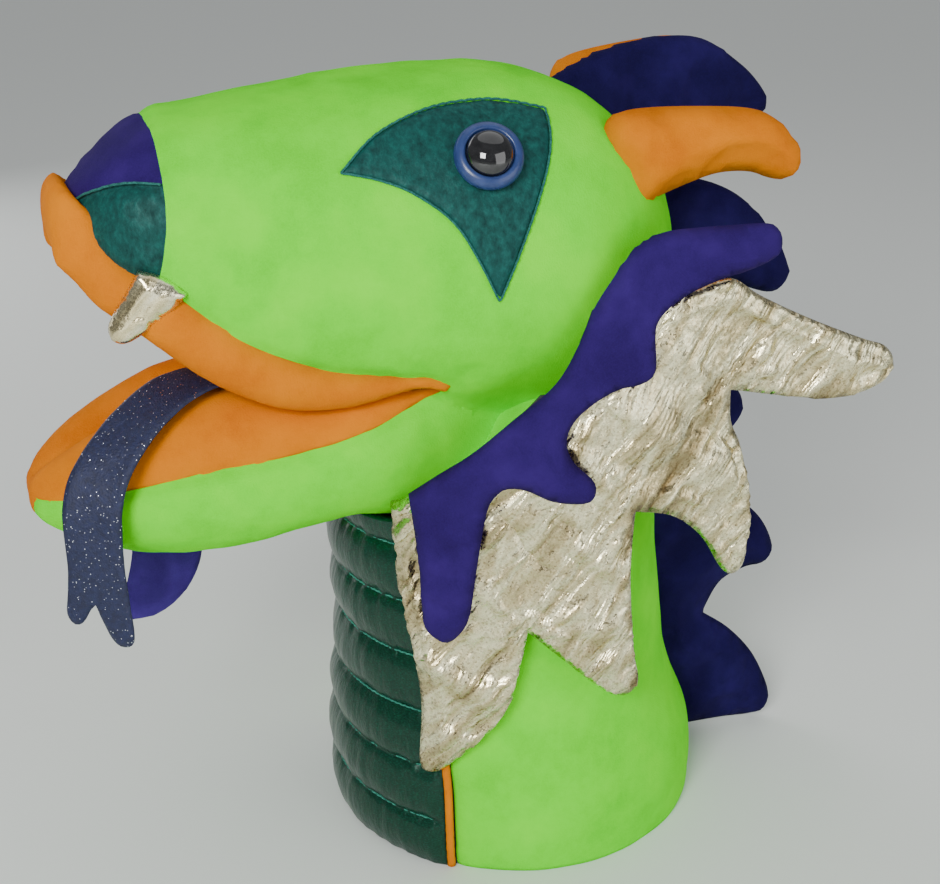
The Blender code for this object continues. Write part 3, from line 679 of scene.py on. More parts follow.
def lame(name, colour, dark, light, grain=1150.0, roughness=0.32, crush=1.0, fleck=0.65):
    """Metallic foil cloth: crushed folds that run aslant, with painted shade in their creases and a painted
    highlight along them, and a fine sparkle.
    """
    n = Nodes(name)
    spark = n.split(n.cells(grain, "Color"))
    folds = n.noise(26, 3, 0.55, (1.0, 3.4, 0.9), 0.5, FOLD_TURN)
    # painted shade and painted highlight from the fold noise: the dark colour where it creases, the light
    # colour in between
    painted_fold_shade_and_highlight = n.ramp(folds, [(0.28, dark), (0.43, colour), (0.52, light), (0.62, colour), (0.78, dark)])
    speck = n.ramp(spark[0], [(0.05, (0.50, 0.45, 0.38)), (0.40, 0.95), (0.95, 1.0)])
    creases = n.bump(folds, 0.95 * crush, 0.006)
    crinkle = n.bump(n.noise(100, 3, 0.5, (1.0, 2.4, 0.8), 0.4, FOLD_TURN), 0.35 * crush, 0.0016, creases)
    n.set(Base_Color=n.mix(fleck, painted_fold_shade_and_highlight, speck, "MULTIPLY"), Metallic=1.0,
          Roughness=n.ramp(spark[1], [(0.1, roughness - 0.12), (0.9, roughness + 0.12)]),
          Normal=n.bump(n.cells(grain), 0.26 * fleck, 0.0003, crinkle))
    return n.material


def satin(name, colour, dark, light):
    """Metallic satin with crinkles across the stitching."""
    n = Nodes(name)
    thread = n.noise(900, 3, 0.6, (1.0, 1.0, 3.0))
    crinkle = n.bump(n.noise(240, 3, 0.55, (1.0, 1.0, 0.35)), 0.5, 0.0014)
    n.set(Base_Color=n.ramp(thread, [(0.3, dark), (0.5, colour), (0.75, light)]), Roughness=0.34,
          Metallic=0.2,
          Coat_Weight=0.28, Coat_Roughness=0.14, Specular_IOR_Level=0.2,
          Normal=n.bump(thread, 0.3, 0.0003, crinkle))
    return n.material


def glitter(name, colour, dark):
    """Dark cloth strewn with bright flakes."""
    n = Nodes(name)
    near = n.ramp(n.cells(1300), [(0.26, 1.0), (0.34, 0.0)])
    picked = n.ramp(n.split(n.cells(1300, "Color"))[0], [(0.90, 0.0), (0.92, 1.0)])
    shining = n.product(near, picked)
    cloth = n.ramp(n.noise(420, 3, 0.6), [(0.35, dark), (0.7, colour)])
    weave = n.bump(n.noise(1400, 2, 0.6), 0.6, 0.0005)
    n.set(Base_Color=n.mix(shining, cloth, (0.85, 0.88, 1.0)), Metallic=shining,
          Roughness=n.ramp(shining, [(0.0, 0.62), (1.0, 0.15)]),
          Normal=n.bump(n.cells(900), 0.4, 0.0004, weave))
    return n.material


def plain_cloth(name, colour, dark):
    """Woven cotton, for linings and thread."""
    n = Nodes(name)
    n.set(Base_Color=n.ramp(n.noise(1300, 2, 0.6), [(0.3, dark), (0.7, colour)]), Roughness=0.9,
          Normal=n.bump(n.noise(1800, 2, 0.5), 0.5, 0.0004))
    return n.material


def moulded(name, colour, roughness, coat=0.0):
    """Moulded plastic with a faint orange-peel surface and fine wear."""
    n = Nodes(name)
    lighter = tuple(min(1.0, c * 1.35 + 0.01) for c in colour)
    n.set(Base_Color=n.ramp(n.noise(300, 3, 0.6), [(0.35, colour), (0.75, lighter)]), Roughness=roughness,
          Coat_Weight=coat, Coat_Roughness=0.03, Normal=n.bump(n.noise(500, 2, 0.5), 0.06, 0.0003))
    return n.material


MATERIALS = {
    "lime": plush("lime_velour", (0.120, 0.80, 0.0), (0.088, 0.68, 0.0), (0.165, 0.88, 0.002), 0.0),
    "orange": plush("orange_velour", (0.64, 0.175, 0.0), (0.54, 0.130, 0.0), (0.72, 0.215, 0.001), 0.0),
    "purple": plush("purple_fleece", (0.023, 0.009, 0.100), (0.016, 0.006, 0.072), (0.036, 0.015, 0.145),
                    0.03),
    # the beard's purple fleece, painted lighter than the nose's and frills' purple: painted light on the
    # beard
    "purple_painted_lit": plush("purple_fleece_painted_lit", (0.050, 0.026, 0.205), (0.036, 0.018, 0.155), (0.070, 0.038, 0.28),
                    0.03),
    "indigo": plush("indigo_velour", (0.008, 0.005, 0.048), (0.005, 0.003, 0.032), (0.015, 0.009, 0.082),
                    0.03),
    "teal": panne("teal_velvet", (0.0, 0.060, 0.052), (0.0, 0.030, 0.027), (0.002, 0.115, 0.098)),
    "teal_thread": plain_cloth("teal_thread", (0.02, 0.17, 0.14), (0.0, 0.06, 0.05)),
    # gold lame and gold fang: the second colour is painted crease shade, the third a painted highlight
    "gold": lame("gold_lame", (0.72, 0.62, 0.35), (0.24, 0.17, 0.07), (0.96, 0.91, 0.60)),
    "gold_smooth": lame("gold_fang", (0.90, 0.80, 0.48), (0.62, 0.50, 0.25), (1.0, 0.94, 0.68), 2100.0, 0.24,
                        0.2, 0.3),
    "satin": satin("green_satin", (0.0, 0.032, 0.016), (0.0, 0.016, 0.008), (0.002, 0.085, 0.05)),
    "satin_thread": plain_cloth("green_thread", (0.05, 0.30, 0.22), (0.0, 0.12, 0.08)),
    "glitter": glitter("glitter_cloth", (0.010, 0.016, 0.066), (0.005, 0.008, 0.036)),
    "blue": moulded("blue_plastic", (0.014, 0.035, 0.13), 0.35, 0.12),
    "black": moulded("black_plastic", (0.004, 0.004, 0.005), 0.06, 1.0),
    "lining": plain_cloth("lining_cloth", (0.06, 0.06, 0.07), (0.03, 0.03, 0.035)),
    "fill": plain_cloth("stuffing", (0.85, 0.85, 0.82), (0.7, 0.7, 0.67)),
    "board": plain_cloth("mouth_board", (0.45, 0.36, 0.22), (0.36, 0.28, 0.17)),
}


def finish_cad_nodes():
    """Materials for the inner pieces, whose CAD shapes stay."""
    chosen = {
        "lining": ("sleeve_lining", "hem_band", "finger_pocket", "thumb_pocket", "mouth_hinge_tape"),
        "fill": ("snout_stuffing", "crown_stuffing", "jaw_stuffing"),
        "board": ("upper_mouth_board", "lower_mouth_board"),
        "black": ("eye_washer_left", "eye_washer_right"),
    }
    for key, names in chosen.items():
        for name in names:
            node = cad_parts[name]
            node.data.materials.clear()
            node.data.materials.append(MATERIALS[key])


# -------------------- head and jaw skins


def seam_field(points):
    """Positive on the plush, zero along the mouth's sewn edges, negative on the mouth lining."""
    y, z = points[:, 1], points[:, 2]
    outside = np.maximum(z - along(UPPER_SEAM, y), along(LOWER_SEAM, y) - z)
    return np.maximum(outside, y - UPPER_SEAM[0][0])


def nose_field(points):
    """Positive ahead of the seam between nose cap and head."""
    y, z = points[:, 1], points[:, 2]
    bow = NOSE_BOW * np.clip((318 - z) / 34, 0, 1) ** 2
    return NOSE_Y - bow - y


def patch_field(points):
    """Positive on the nostril patches, at the sides of the nose below a curved line."""
    y, z = points[:, 1], points[:, 2]
    return np.minimum(along(PATCH_LINE, y) - z, np.abs(points[:, 0]) - NOSE_STRIP)


def throat_field(points):
    """Positive on the skin that shows, negative far down inside the sleeve, where the arm passes."""
    y, z = points[:, 1], points[:, 2]
    return np.where(y > -66, z - (along(RIM, y) - 40), 50.0)


def creased(points, faces, values):
    """Pulls a skin in along the zero line of the values, as a sewn edge does."""
    normals = vertex_normals(points, faces)
    pull = SEAM_DEPTH * np.exp(-((values / SEAM_WIDTH) ** 2))
    return points - normals * pull[:, None]


def build_hull():
    """The whole outer form of head and jaw, before it is divided into cloths."""
    head = section_loft(HEAD_SECTIONS, HEAD_POWER)
    jaw = section_loft(JAW_SECTIONS, JAW_POWER)
    points, faces = fused([head, jaw], HULL_VOXEL, 5)
    normals = vertex_normals(points, faces)
    lumps = 1.1 * wander(points, 36, 1) + 0.45 * wander(points, 14, 2)
    return points + normals * lumps[:, None], faces


def add_skins(points, faces):
    plush_values = seam_field(points)
    nose_values = nose_field(points)
    patch_values = patch_field(points)
    upper = (points[:, 2] > along(UPPER_SEAM, points[:, 1]) - 12) | (points[:, 1] > HINGE.y)
    creases = np.minimum(np.abs(plush_values), np.where(upper & (points[:, 2] > 225), np.abs(nose_values),
                                                        99))
    on_nose = upper & (nose_values > 0)
    creases = np.where(on_nose, np.minimum(creases, np.abs(patch_values) * 1.2), creases)
    gathers = 0.55 * wander(points, 6.0, 3) * np.exp(-((creases / 9.0) ** 2))
    normals = vertex_normals(points, faces)
    rel = points[:, 1:] - np.array([HINGE.y - 2, HINGE.z + 3])
    reach = np.linalg.norm(rel, axis=1)
    fan = np.cos(7 * np.arctan2(rel[:, 1], rel[:, 0]) + 1.5 * wander(points, 25, 9))
    pull = 1.5 * np.minimum(fan, 0.2) * np.exp(-reach / 26) * smoothstep((reach - 7) / 10)
    behind_nose = np.maximum(-nose_values, 0)
    wrinkle = wander(points * [0.5, 0.4, 1.7], 13, 11)
    tuck = 1.3 * np.minimum(wrinkle, 0.1) * np.exp(-behind_nose / 34) * (points[:, 2] > 230)
    slack = 0.8 * np.minimum(wander(points @ SLANT, 16, 12), 0.05)
    points = points + normals * (gathers + pull + tuck + slack)[:, None]
    points = creased(points, faces, creases)

    skin, skin_faces = clip(points, faces, np.minimum(seam_field(points), throat_field(points)))
    centres = np.array([skin[f].mean(0) for f in skin_faces])
    parting = np.interp(centres[:, 1], [-60, -30, 20, 90], [229, 208, 196, 190])
    ahead = centres[:, 1] < HINGE.y
    middle = (along(UPPER_SEAM, centres[:, 1]) + along(LOWER_SEAM, centres[:, 1])) / 2
    lower = np.where(ahead, centres[:, 2] < middle, centres[:, 2] < parting)
    upper_faces = [f for f, low in zip(skin_faces, lower) if not low]
    lower_faces = [f for f, low in zip(skin_faces, lower) if low]

    head, head_faces = clip(skin, upper_faces, -nose_field(skin))
    make_piece("head_plush", head, head_faces, "lime", "head", ["head_skin"], 0.8)

    nose, nose_faces = clip(skin, upper_faces, nose_field(skin))
    cap, cap_faces = clip(nose, nose_faces, -patch_field(nose))
    make_piece("nose_plush", cap, cap_faces, "purple", "head", ["nose_cap"], 0.9)
    patch, patch_faces = clip(nose, nose_faces, patch_field(nose))
    for side, sign in SIDES:
        half, half_faces = clip(patch, patch_faces, patch[:, 0] * sign)
        make_piece("nostril_velvet_" + side, half, half_faces, "teal", "head", ["nostril_patch_" + side], 0.8)

    jaw, jaw_faces = clip(skin, lower_faces, np.ones(len(skin)))
    obj = make_piece("jaw_plush", jaw, jaw_faces, "lime", None, ["jaw_skin"])
    blend_jaw(obj)


def blend_collar(obj):
    """The top of the sleeve is sewn to the head; the piece has its placement baked into its mesh."""
    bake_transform(obj)


def blend_jaw(obj):
    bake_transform(obj)


def surface_at(tree, y, z, sign, lift):
    """The point this far outside the hull's side, at this place and height."""
    hit, normal, _, _ = tree.ray_cast(Vector((200 * sign, y, z)), Vector((-sign, 0, 0)))
    return np.array(hit + normal * lift)


# -------------------- mouth linings


def half_width(sections, power, y, z):
    """Half width of a lofted form at a place along it and a height."""
    fine = smooth_run(sections, 6)
    order = np.argsort(fine[:, 0])
    top, bottom, width, middle = (np.interp(y, fine[order, 0], fine[order, k]) for k in (1, 2, 3, 4))
    height = top - middle if z > middle else middle - bottom
    ratio = min(1.0, abs(z - middle) / height)
    return width * (1 - ratio**power) ** (1 / power)


def hull_width(tree, sections, power, y, z):
    """Half width of the finished hull at a place, or of the plain form past the hull's tip."""
    hit = tree.ray_cast(Vector((200, y, z)), Vector((-1, 0, 0)))[0]
    return hit.x if hit and hit.x > 0 else 0.9 * half_width(sections, power, y, z)


def roll(path, across, tall, count=20):
    """A lip roll: an upright oval swept along a rail from the left corner round the tip to the right one."""
    left = np.array(path, float)
    whole = np.vstack([left, (left * [-1, 1, 1])[::-1]])
    wide = np.r_[across, across[::-1]]
    high = np.r_[tall, tall[::-1]]
    fine = smooth_run(np.c_[whole, wide, high], 4)
    whole, wide, high = fine[:, :3], fine[:, 3], fine[:, 4]
    tangent = unit(np.gradient(whole, axis=0))
    angle = round_angles(count)[:, None]
    rings = []
    for centre, t, a, b in zip(whole, tangent, wide, high):
        side = np.cross(t, [0, 0, 1.0])
        side /= np.linalg.norm(side)
        up = np.cross(side, t)
        rings.append(centre + a * np.cos(angle) * side + b * np.sin(angle) * up)
    return ring_loft(rings)


# Upper lip roll at places along the seam: (y, rise of its middle above the seam, half height, half width, how
# far it runs ahead)
LIP_ROLL = [
    (-52, -1, 3.5, 5, 0),
    (-58, -1, 3.5, 5, 0),
    (-64, -1.5, 3.8, 5, 0),
    (-71, -2.5, 5, 6.5, 0),
    (-80, -4.5, 7, 8, 0),
    (-94, -7, 10, 10, 0),
    (-108, -9, 12.5, 11.5, 0),
    (-122, -10, 13.5, 12, 0),
    (-136, -10.5, 14, 12.5, 0),
    (-150, -11, 14, 12.5, 0),
    (-161, -10.5, 14, 12, 1),
    (-171, -9.5, 13, 11, 2),
    (-180, -7, 12.5, 9.5, 2.5),
    (-187, -2, 13, 8, 3),
    (-192, 3.5, 15, 6.5, 5.5),
]


def add_upper_lining(tree):
    path, rings = [], []
    for y, rise, tall, across, ahead in LIP_ROLL:
        z = float(along(UPPER_SEAM, y))
        x = hull_width(tree, HEAD_SECTIONS, HEAD_POWER, y, z + 1)
        path.append((max(x - 0.88 * across, 2.0), y - ahead, z + rise))
        inner, roof = 0.80 * x, z + rise * 0.6
        rings.append(np.array([(inner, y, roof), (0, y, roof + 1.5), (-inner, y, roof),
                               (-inner, y, roof - 9), (0, y, roof - 9), (inner, y, roof - 9)]))
    table = np.array(LIP_ROLL, float)
    body = roll(path, table[:, 3], table[:, 2])
    points, faces = fused([body, ring_loft(rings[2:])], LINING_VOXEL, 12)
    points = puckered(points, faces, UPPER_SEAM, 4)
    obj = make_piece("upper_lip", points, faces, "orange", "head", ["upper_mouth_lining"])
    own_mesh(obj)


def puckered(points, faces, seam, seed):
    """Small gathers in a lining, strongest by its sewn edge."""
    normals = vertex_normals(points, faces)
    near = np.abs(points[:, 2] - along(seam, points[:, 1]))
    gather = 0.5 * wander(points * [1, 1, 0.5], 5.5, seed) * np.exp(-((near / 10) ** 2))
    broad = 0.6 * wander(points, 24, seed + 1)
    return points + normals * (gather + broad)[:, None]


def add_lower_lining(tree):
    ys = np.array([-54, -62, -70, -80, -94, -108, -122, -136, -150, -163, -176, -188, -199, -208, -216,
                   -222.4])
    rise = np.array([5, 9, 14, 16, 16.5, 18, 22, 28, 31.5, 30, 26, 22, 18, 14, 10, 4])
    columns = 41
    us = np.linspace(-1, 1, columns)
    rings = []
    for y, r in zip(ys, rise):
        z = float(along(LOWER_SEAM, y))
        inset = LINING_INSET + 1.2 * float(smoothstep((y + 78) / 16))
        x = hull_width(tree, JAW_SECTIONS, JAW_POWER, y, z - 0.5) - inset
        u = np.abs(us)
        lobe = (1 - u**3.2) ** 0.55 * (1 - 0.42 * np.exp(-((us / 0.24) ** 2)))
        top = np.stack([us * x, np.full(columns, y), z + r * lobe], 1)
        under = np.stack([us[::-1] * x * 0.95, np.full(columns, y), np.full(columns, z - 8.0)], 1)
        rings.append(np.vstack([top, under]))
    points, faces = fused([ring_loft(rings)], LINING_VOXEL, 6)
    points = puckered(points, faces, LOWER_SEAM, 6)
    obj = make_piece("lower_lip", points, faces, "orange", None, ["lower_mouth_lining"])
    blend_jaw(obj)


# -------------------- face


def add_eye_patches(points, faces, tree):
    loop = closed_outline(EYE_PATCH_OUTLINE, 6)
    inside = outline_distance(points[:, 1:], loop)
    for side, sign in SIDES:
        values = np.where(points[:, 0] * sign > 10, inside, -50.0)
        patch, patch_faces = clip(points, faces, values)
        patch, patch_faces = subdivided(patch, patch_faces)
        normals = vertex_normals(patch, patch_faces)
        edge = np.maximum(outline_distance(patch[:, 1:], loop), 0)
        lift = 1.5 * np.sqrt(np.clip(edge / 2.0, 0.0, 1)) + 0.25 * wander(patch, 7, 8) - 0.15
        make_piece("eye_velvet_" + side, patch + normals * lift[:, None], patch_faces, "teal", "head",
                   ["eye_patch_" + side], 0.3)
        path = [surface_at(tree, y, z, sign, 0.9 + 0.25 * math.sin(k * 2.1))
                for k, (y, z) in enumerate(resample(loop, 1.3))]
        make_piece("eye_stitching_" + side, *tube([*path, path[0]], 0.5, 8, False), "teal_thread", "head")


def add_nostril_stitching(tree):
    for side, sign in SIDES:
        path = [surface_at(tree, y, float(along(PATCH_LINE, y)), sign, 0.2 + 0.2 * math.sin(k * 2.2))
                for k, y in enumerate(np.linspace(-194, -163, 26))]
        make_piece("nostril_stitching_" + side, *tube(path, 0.5, 8), "teal_thread", "head")


def lathe(profile, centre, axis, count=72):
    """A turned surface from (radius, height) points along the axis from the centre."""
    turn = Vector(axis).to_track_quat("Z", "Y").to_matrix()
    angle = round_angles(count)
    rings = []
    for radius, height in profile:
        local = np.stack([radius * np.cos(angle), radius * np.sin(angle), np.full(count, height)], 1)
        rings.append(np.array(centre) + local @ np.array(turn).T)
    return ring_loft(rings)


def add_eyes():
    for side, sign in SIDES:
        low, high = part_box("eye_rim_" + side)
        middle = ((low + high) / 2 - Vector((0, HEM_Y, 0))) / MM
        up, forward = math.radians(33), math.radians(9)
        axis = Vector((sign * math.cos(up) * math.cos(forward), -math.cos(up) * math.sin(forward),
                       math.sin(up)))
        back = middle - axis * 2.6
        rim = [(8, -1.5), (12.6, -1.5), (13.6, -0.6), (14.0, 0.8), (13.8, 2.2), (13.1, 3.4), (12.0, 4.2),
               (10.9, 4.5), (10.2, 4.3), (9.8, 3.8), (9.6, 2.8), (9.4, 1.0), (4, 0.8)]
        make_piece("eye_ring_" + side, *lathe(smooth_run(rim, 3), back, axis), "blue", "head",
                   ["eye_rim_" + side])
        dome = [(9.75 * math.cos(a), 2.6 + 7.2 * math.sin(a)) for a in np.radians([0, *range(6, 90, 7),
                                                                                   89.5])]
        make_piece("eye_dome_" + side, *lathe([(6, 1.4), (9.6, 1.4), *dome], back, axis), "black", "head",
                   ["eye_" + side])


def add_fangs():
    loop = closed_outline([
        [(-10, 5), (-11, -6), (-12, -16), (-11.5, -22), (-8, -25.5), (-3, -24.5), (2, -17), (7.5, -6),
         (11, 5)],
        [(11, 5), (0, 7), (-10, 5)],
    ], 6)
    points, faces = pillow(loop, 11, 1.5, 7, 0.06, 4, 3, seed=21, gather=0.25)
    for side, sign in SIDES:
        along_lip = Vector((-5 * sign, -15, 8)).normalized()
        out = Vector((sign * 0.93, -0.25, -0.05))
        out = (out - along_lip * out.dot(along_lip)).normalized()
        up = out.cross(along_lip) * sign
        if up.z < 0:
            up = -up
        basis = np.array([-along_lip, up, out])
        centre = np.array([46.5 * sign, -168.0, 279.0])
        placed = centre + points @ basis
        flip = np.linalg.det(basis) < 0
        made = [f[::-1] for f in faces] if flip else faces
        make_piece("fang_lame_" + side, placed, made, "gold_smooth", "head", ["fang_" + side], 0.8)


# -------------------- fins and horns


def add_fins():
    fins = [
        ("crest_plush", "crest_fin", CREST_OUTLINE, 19, "head", "indigo"),
        ("nape_plush", "nape_fin", NAPE_OUTLINE, 18, "head", "indigo"),
        ("ridge_plush", "neck_ridge", RIDGE_OUTLINE, 18, "neck", "indigo"),
        # the beard wears the purple fleece with painted light
        ("beard_plush", "beard", BEARD_OUTLINE, 14, "jaw", "purple_painted_lit"),
    ]
    for k, (name, node, runs, thickness, body, look) in enumerate(fins):
        loop = closed_outline(runs, 5)
        points, faces = pillow(loop, thickness, 3.0, thickness * 1.2, 0.05, 4, 6, seed=30 + k)
        make_piece(name, side_placed(points), faces, look, body, [node], 0.8)


def add_horns():
    loop = closed_outline(HORN_OUTLINE, 5)
    points, faces = pillow(loop, 31, 3.0, 20, 0.04, 4, 6, seed=40)
    for side, sign, tilt, shift in (("left", 1, 0.0, (0, 0, 0)), ("right", -1, HORN_TILT, HORN_SHIFT)):
        placed = side_placed(points) * [sign, 1, 1]
        splay = 0.10 * np.maximum(placed[:, 1] - 20, 0)
        placed[:, 0] += sign * (48 + splay)
        turn = np.array(Matrix.Rotation(math.radians(tilt), 3, "X"))
        root = np.array([0, 22, 318.0])
        placed = (placed - root) @ turn.T + root + np.array(shift)
        made = faces if sign > 0 else [f[::-1] for f in faces]
        make_piece("horn_plush_" + side, placed, made, "orange", "head", ["horn_" + side], 0.9)


# -------------------- neck


def neck_at(z):
    fine = smooth_run(NECK_SECTIONS, 6)
    return np.interp(z, fine[:, 0], fine[:, 1]), np.interp(z, fine[:, 0], fine[:, 2])


def neck_point(angle, z, grow=0.0):
    """A point on the sleeve; the angle is from the front (-Y) towards +X."""
    middle, radius = neck_at(z)
    r = radius + grow
    return np.stack([r * np.sin(angle), middle - r * np.cos(angle), z + 0 * angle], -1)


def rim_height(angle, rim=RIM):
    """Height of the sleeve's rim in each direction."""
    y = -10 - 77 * np.cos(angle)
    return along(rim, y)


def neck_sheet(angle_from, angle_to, columns, rows, grow, rim):
    """A piece of the sleeve between two directions, as a thick sheet; grow(angle, z) is its relief."""
    angles = np.linspace(angle_from, angle_to, columns)
    outer, inner = [], []
    for a in angles:
        z = np.linspace(0.0, float(rim_height(a, rim)), rows)
        relief = grow(a, z)
        outer.append(neck_point(np.full(rows, a), z, relief))
        inner.append(neck_point(np.full(rows, a), z, np.minimum(relief, 0) - SLEEVE_THICKNESS))
    outer, inner = np.array(outer), np.array(inner)
    points = np.vstack([outer.reshape(-1, 3), inner.reshape(-1, 3)])
    half = columns * rows
    faces = []
    for i in range(columns - 1):
        for k in range(rows - 1):
            a, b, c, d = i * rows + k, (i + 1) * rows + k, (i + 1) * rows + k + 1, i * rows + k + 1
            faces.append([a, b, c, d])
            faces.append([half + a, half + d, half + c, half + b])
    for i in range(columns - 1):
        for k in (0, rows - 1):
            a, b = i * rows + k, (i + 1) * rows + k
            faces.append([a, half + a, half + b, b] if k == 0 else [a, b, half + b, half + a])
    for k in range(rows - 1):
        for i in (0, columns - 1):
            a, b = i * rows + k, i * rows + k + 1
            faces.append([a, b, half + b, half + a] if i == 0 else [a, half + a, half + b, b])
    return points, faces


def sleeve_places(angle, z):
    """Places on a plain round sleeve, for noise."""
    return np.stack([ARC * np.sin(angle) + 0 * z, ARC * np.cos(angle) + 0 * z, z], 1)


def add_neck():
    belly = BELLY_HALF_ANGLE

    def sleeve_relief(angle, z):
        p = sleeve_places(angle, z)
        seam = np.minimum(np.abs(angle - belly), np.abs(2 * np.pi - belly - angle)) * ARC
        crease = -1.4 * np.exp(-((seam / 3.0) ** 2))
        hem = -1.0 * np.exp(-((z / 2.0) ** 2)) - 0.5 * np.exp(-(((z - 12) / 1.6) ** 2))
        below_rim = rim_height(angle, SIDE_RIM) - z
        turned_in = (-COLLAR_SHELF * smoothstep(1 - below_rim / 16)
                     * smoothstep((60 + ARC * np.cos(angle)) / 30))
        return 1.2 * wander(p, 48, 51) + 0.5 * wander(p, 17, 52) + crease + hem + turned_in

    points, faces = neck_sheet(belly + SEAM_PLAY, 2 * np.pi - belly - SEAM_PLAY, 190, 84, sleeve_relief,
                               SIDE_RIM)
    obj = make_piece("neck_plush", points, faces, "lime", None, ["neck_sleeve"])
    blend_collar(obj)

    def belly_relief(angle, z):
        p = sleeve_places(angle, z)
        wave = np.abs(np.sin(np.pi * (z + 3) / CHANNEL_PITCH))
        puff = CHANNEL_BULGE * wave**0.62 - 0.6
        edge = smoothstep((belly - np.abs(angle)) * ARC / 9.0)
        valley = np.exp(-((wave / 0.45) ** 2))
        gathers = 0.8 * wander(p * [1, 1, 0.22], 5.0, 55) * (0.35 + valley)
        return puff * (0.25 + 0.75 * edge) + gathers * edge + 0.8 * wander(p, 22, 56)

    points, faces = neck_sheet(-belly + SEAM_PLAY, belly - SEAM_PLAY, 110, 220, belly_relief, RIM)
    obj = make_piece("belly_satin", points, faces, "satin", None, ["belly_panel"])
    blend_collar(obj)

    count = int(170 / CHANNEL_PITCH) + 1
    for k in range(count):
        z = CHANNEL_PITCH * (k + 1) - 3
        angles = np.linspace(-belly + 0.06, belly - 0.06, 150)
        inside = rim_height(angles) > z + 4
        if inside.sum() < 20:
            continue
        angles = angles[inside]
        path = neck_point(angles, np.full(len(angles), z), -0.2 + 0.25 * np.sin(np.arange(len(angles)) * 1.7))
        blend_collar(make_piece(f"belly_stitching_{k + 1}", *tube(path, 0.45, 6), "satin_thread"))

    for side, sign in SIDES:
        angle = belly * sign
        z = np.linspace(0.8, float(rim_height(angle)) - 1, 70)
        path = neck_point(np.full(len(z), angle), z, 0.9 + 0.25 * np.sin(z * 1.3))
        blend_collar(make_piece("piping_plush_" + side, *tube(path, 1.9, 12), "orange", None,
                                ["piping_" + side]))


# -------------------- frills


def wrapped(points, radius, tuck, sign):
    """Bends a flat frill, (s, z, out), round the neck: s runs from the side of the neck to its back."""
    s, z, out = points.T
    from_seam = np.maximum(0, (s - z + SEAM_OFFSET) / math.sqrt(2))
    room = np.clip(1 + s / 60, 0, 1)
    flare = 3.0 * np.sin(s / 17.0 + 0.6) * smoothstep((from_seam - 12) / 40)
    r = radius + out + flare - tuck * room * np.exp(-((from_seam / TUCK_REACH) ** 2))
    angle = np.where(s < 0, s / radius, 0)
    x = r * np.cos(angle)
    y = r * np.sin(angle) + np.maximum(s, 0)
    return np.stack([x * sign, y, z], 1)


def add_frills():
    gold = closed_outline(GOLD_OUTLINE, 5)
    gold_points, gold_faces = pillow(gold, 11.0, 2.2, 10, 0.075, 3.5, 7, 60, 0.30, GOLD_PULLS)
    purple = closed_outline(PURPLE_OUTLINE, 5)
    purple_points, purple_faces = pillow(purple, 11.5, 2.5, 8, 0.03, 3.0, 5, 61, 0.08)
    for side, sign in SIDES:
        layers = (
            ("gold_frill_lame_", gold_points, gold_faces, FRILL_RADIUS + 3.5, FRILL_TUCK, "gold"),
            ("purple_frill_fleece_", purple_points, purple_faces, FRILL_RADIUS + 11, FRILL_TUCK + 4,
             "purple"),
        )
        for name, points, faces, radius, tuck, look in layers:
            placed = wrapped(points, radius, tuck, sign)
            made = faces if sign > 0 else [f[::-1] for f in faces]
            make_piece(name + side, placed, made, look, "neck", [f"{look}_frill_{side}"], 0.6)


# -------------------- tongue


TONGUE_PATH = [
    ((8, -92, 222), (12, 0, 0)),
    ((10, -108, 225), (12, 0.5, 0)),
    ((13, -124, 229), (12, 1.5, 0)),
    ((17, -138, 233), (11.5, 3.5, 0)),
    ((23, -151, 235), (9.5, 7.5, 0)),
    ((29.5, -165, 232), (8, 10.5, 0)),
    ((35, -178, 224.5), (7.2, 11, 0)),
    ((40.5, -189, 214.5), (7, 11.3, 0)),
    ((44.5, -196.5, 204), (7, 11.5, 0)),
    ((46.2, -200, 193), (7, 11.5, 0)),
    ((46.5, -200.8, 180), (7, 11.5, 0)),
    ((46.5, -200.8, 166), (7, 11.5, 0)),
    ((46, -201, 152), (7, 11.5, 0)),
    ((46, -200.5, 137), (7.5, 12, 0)),
]


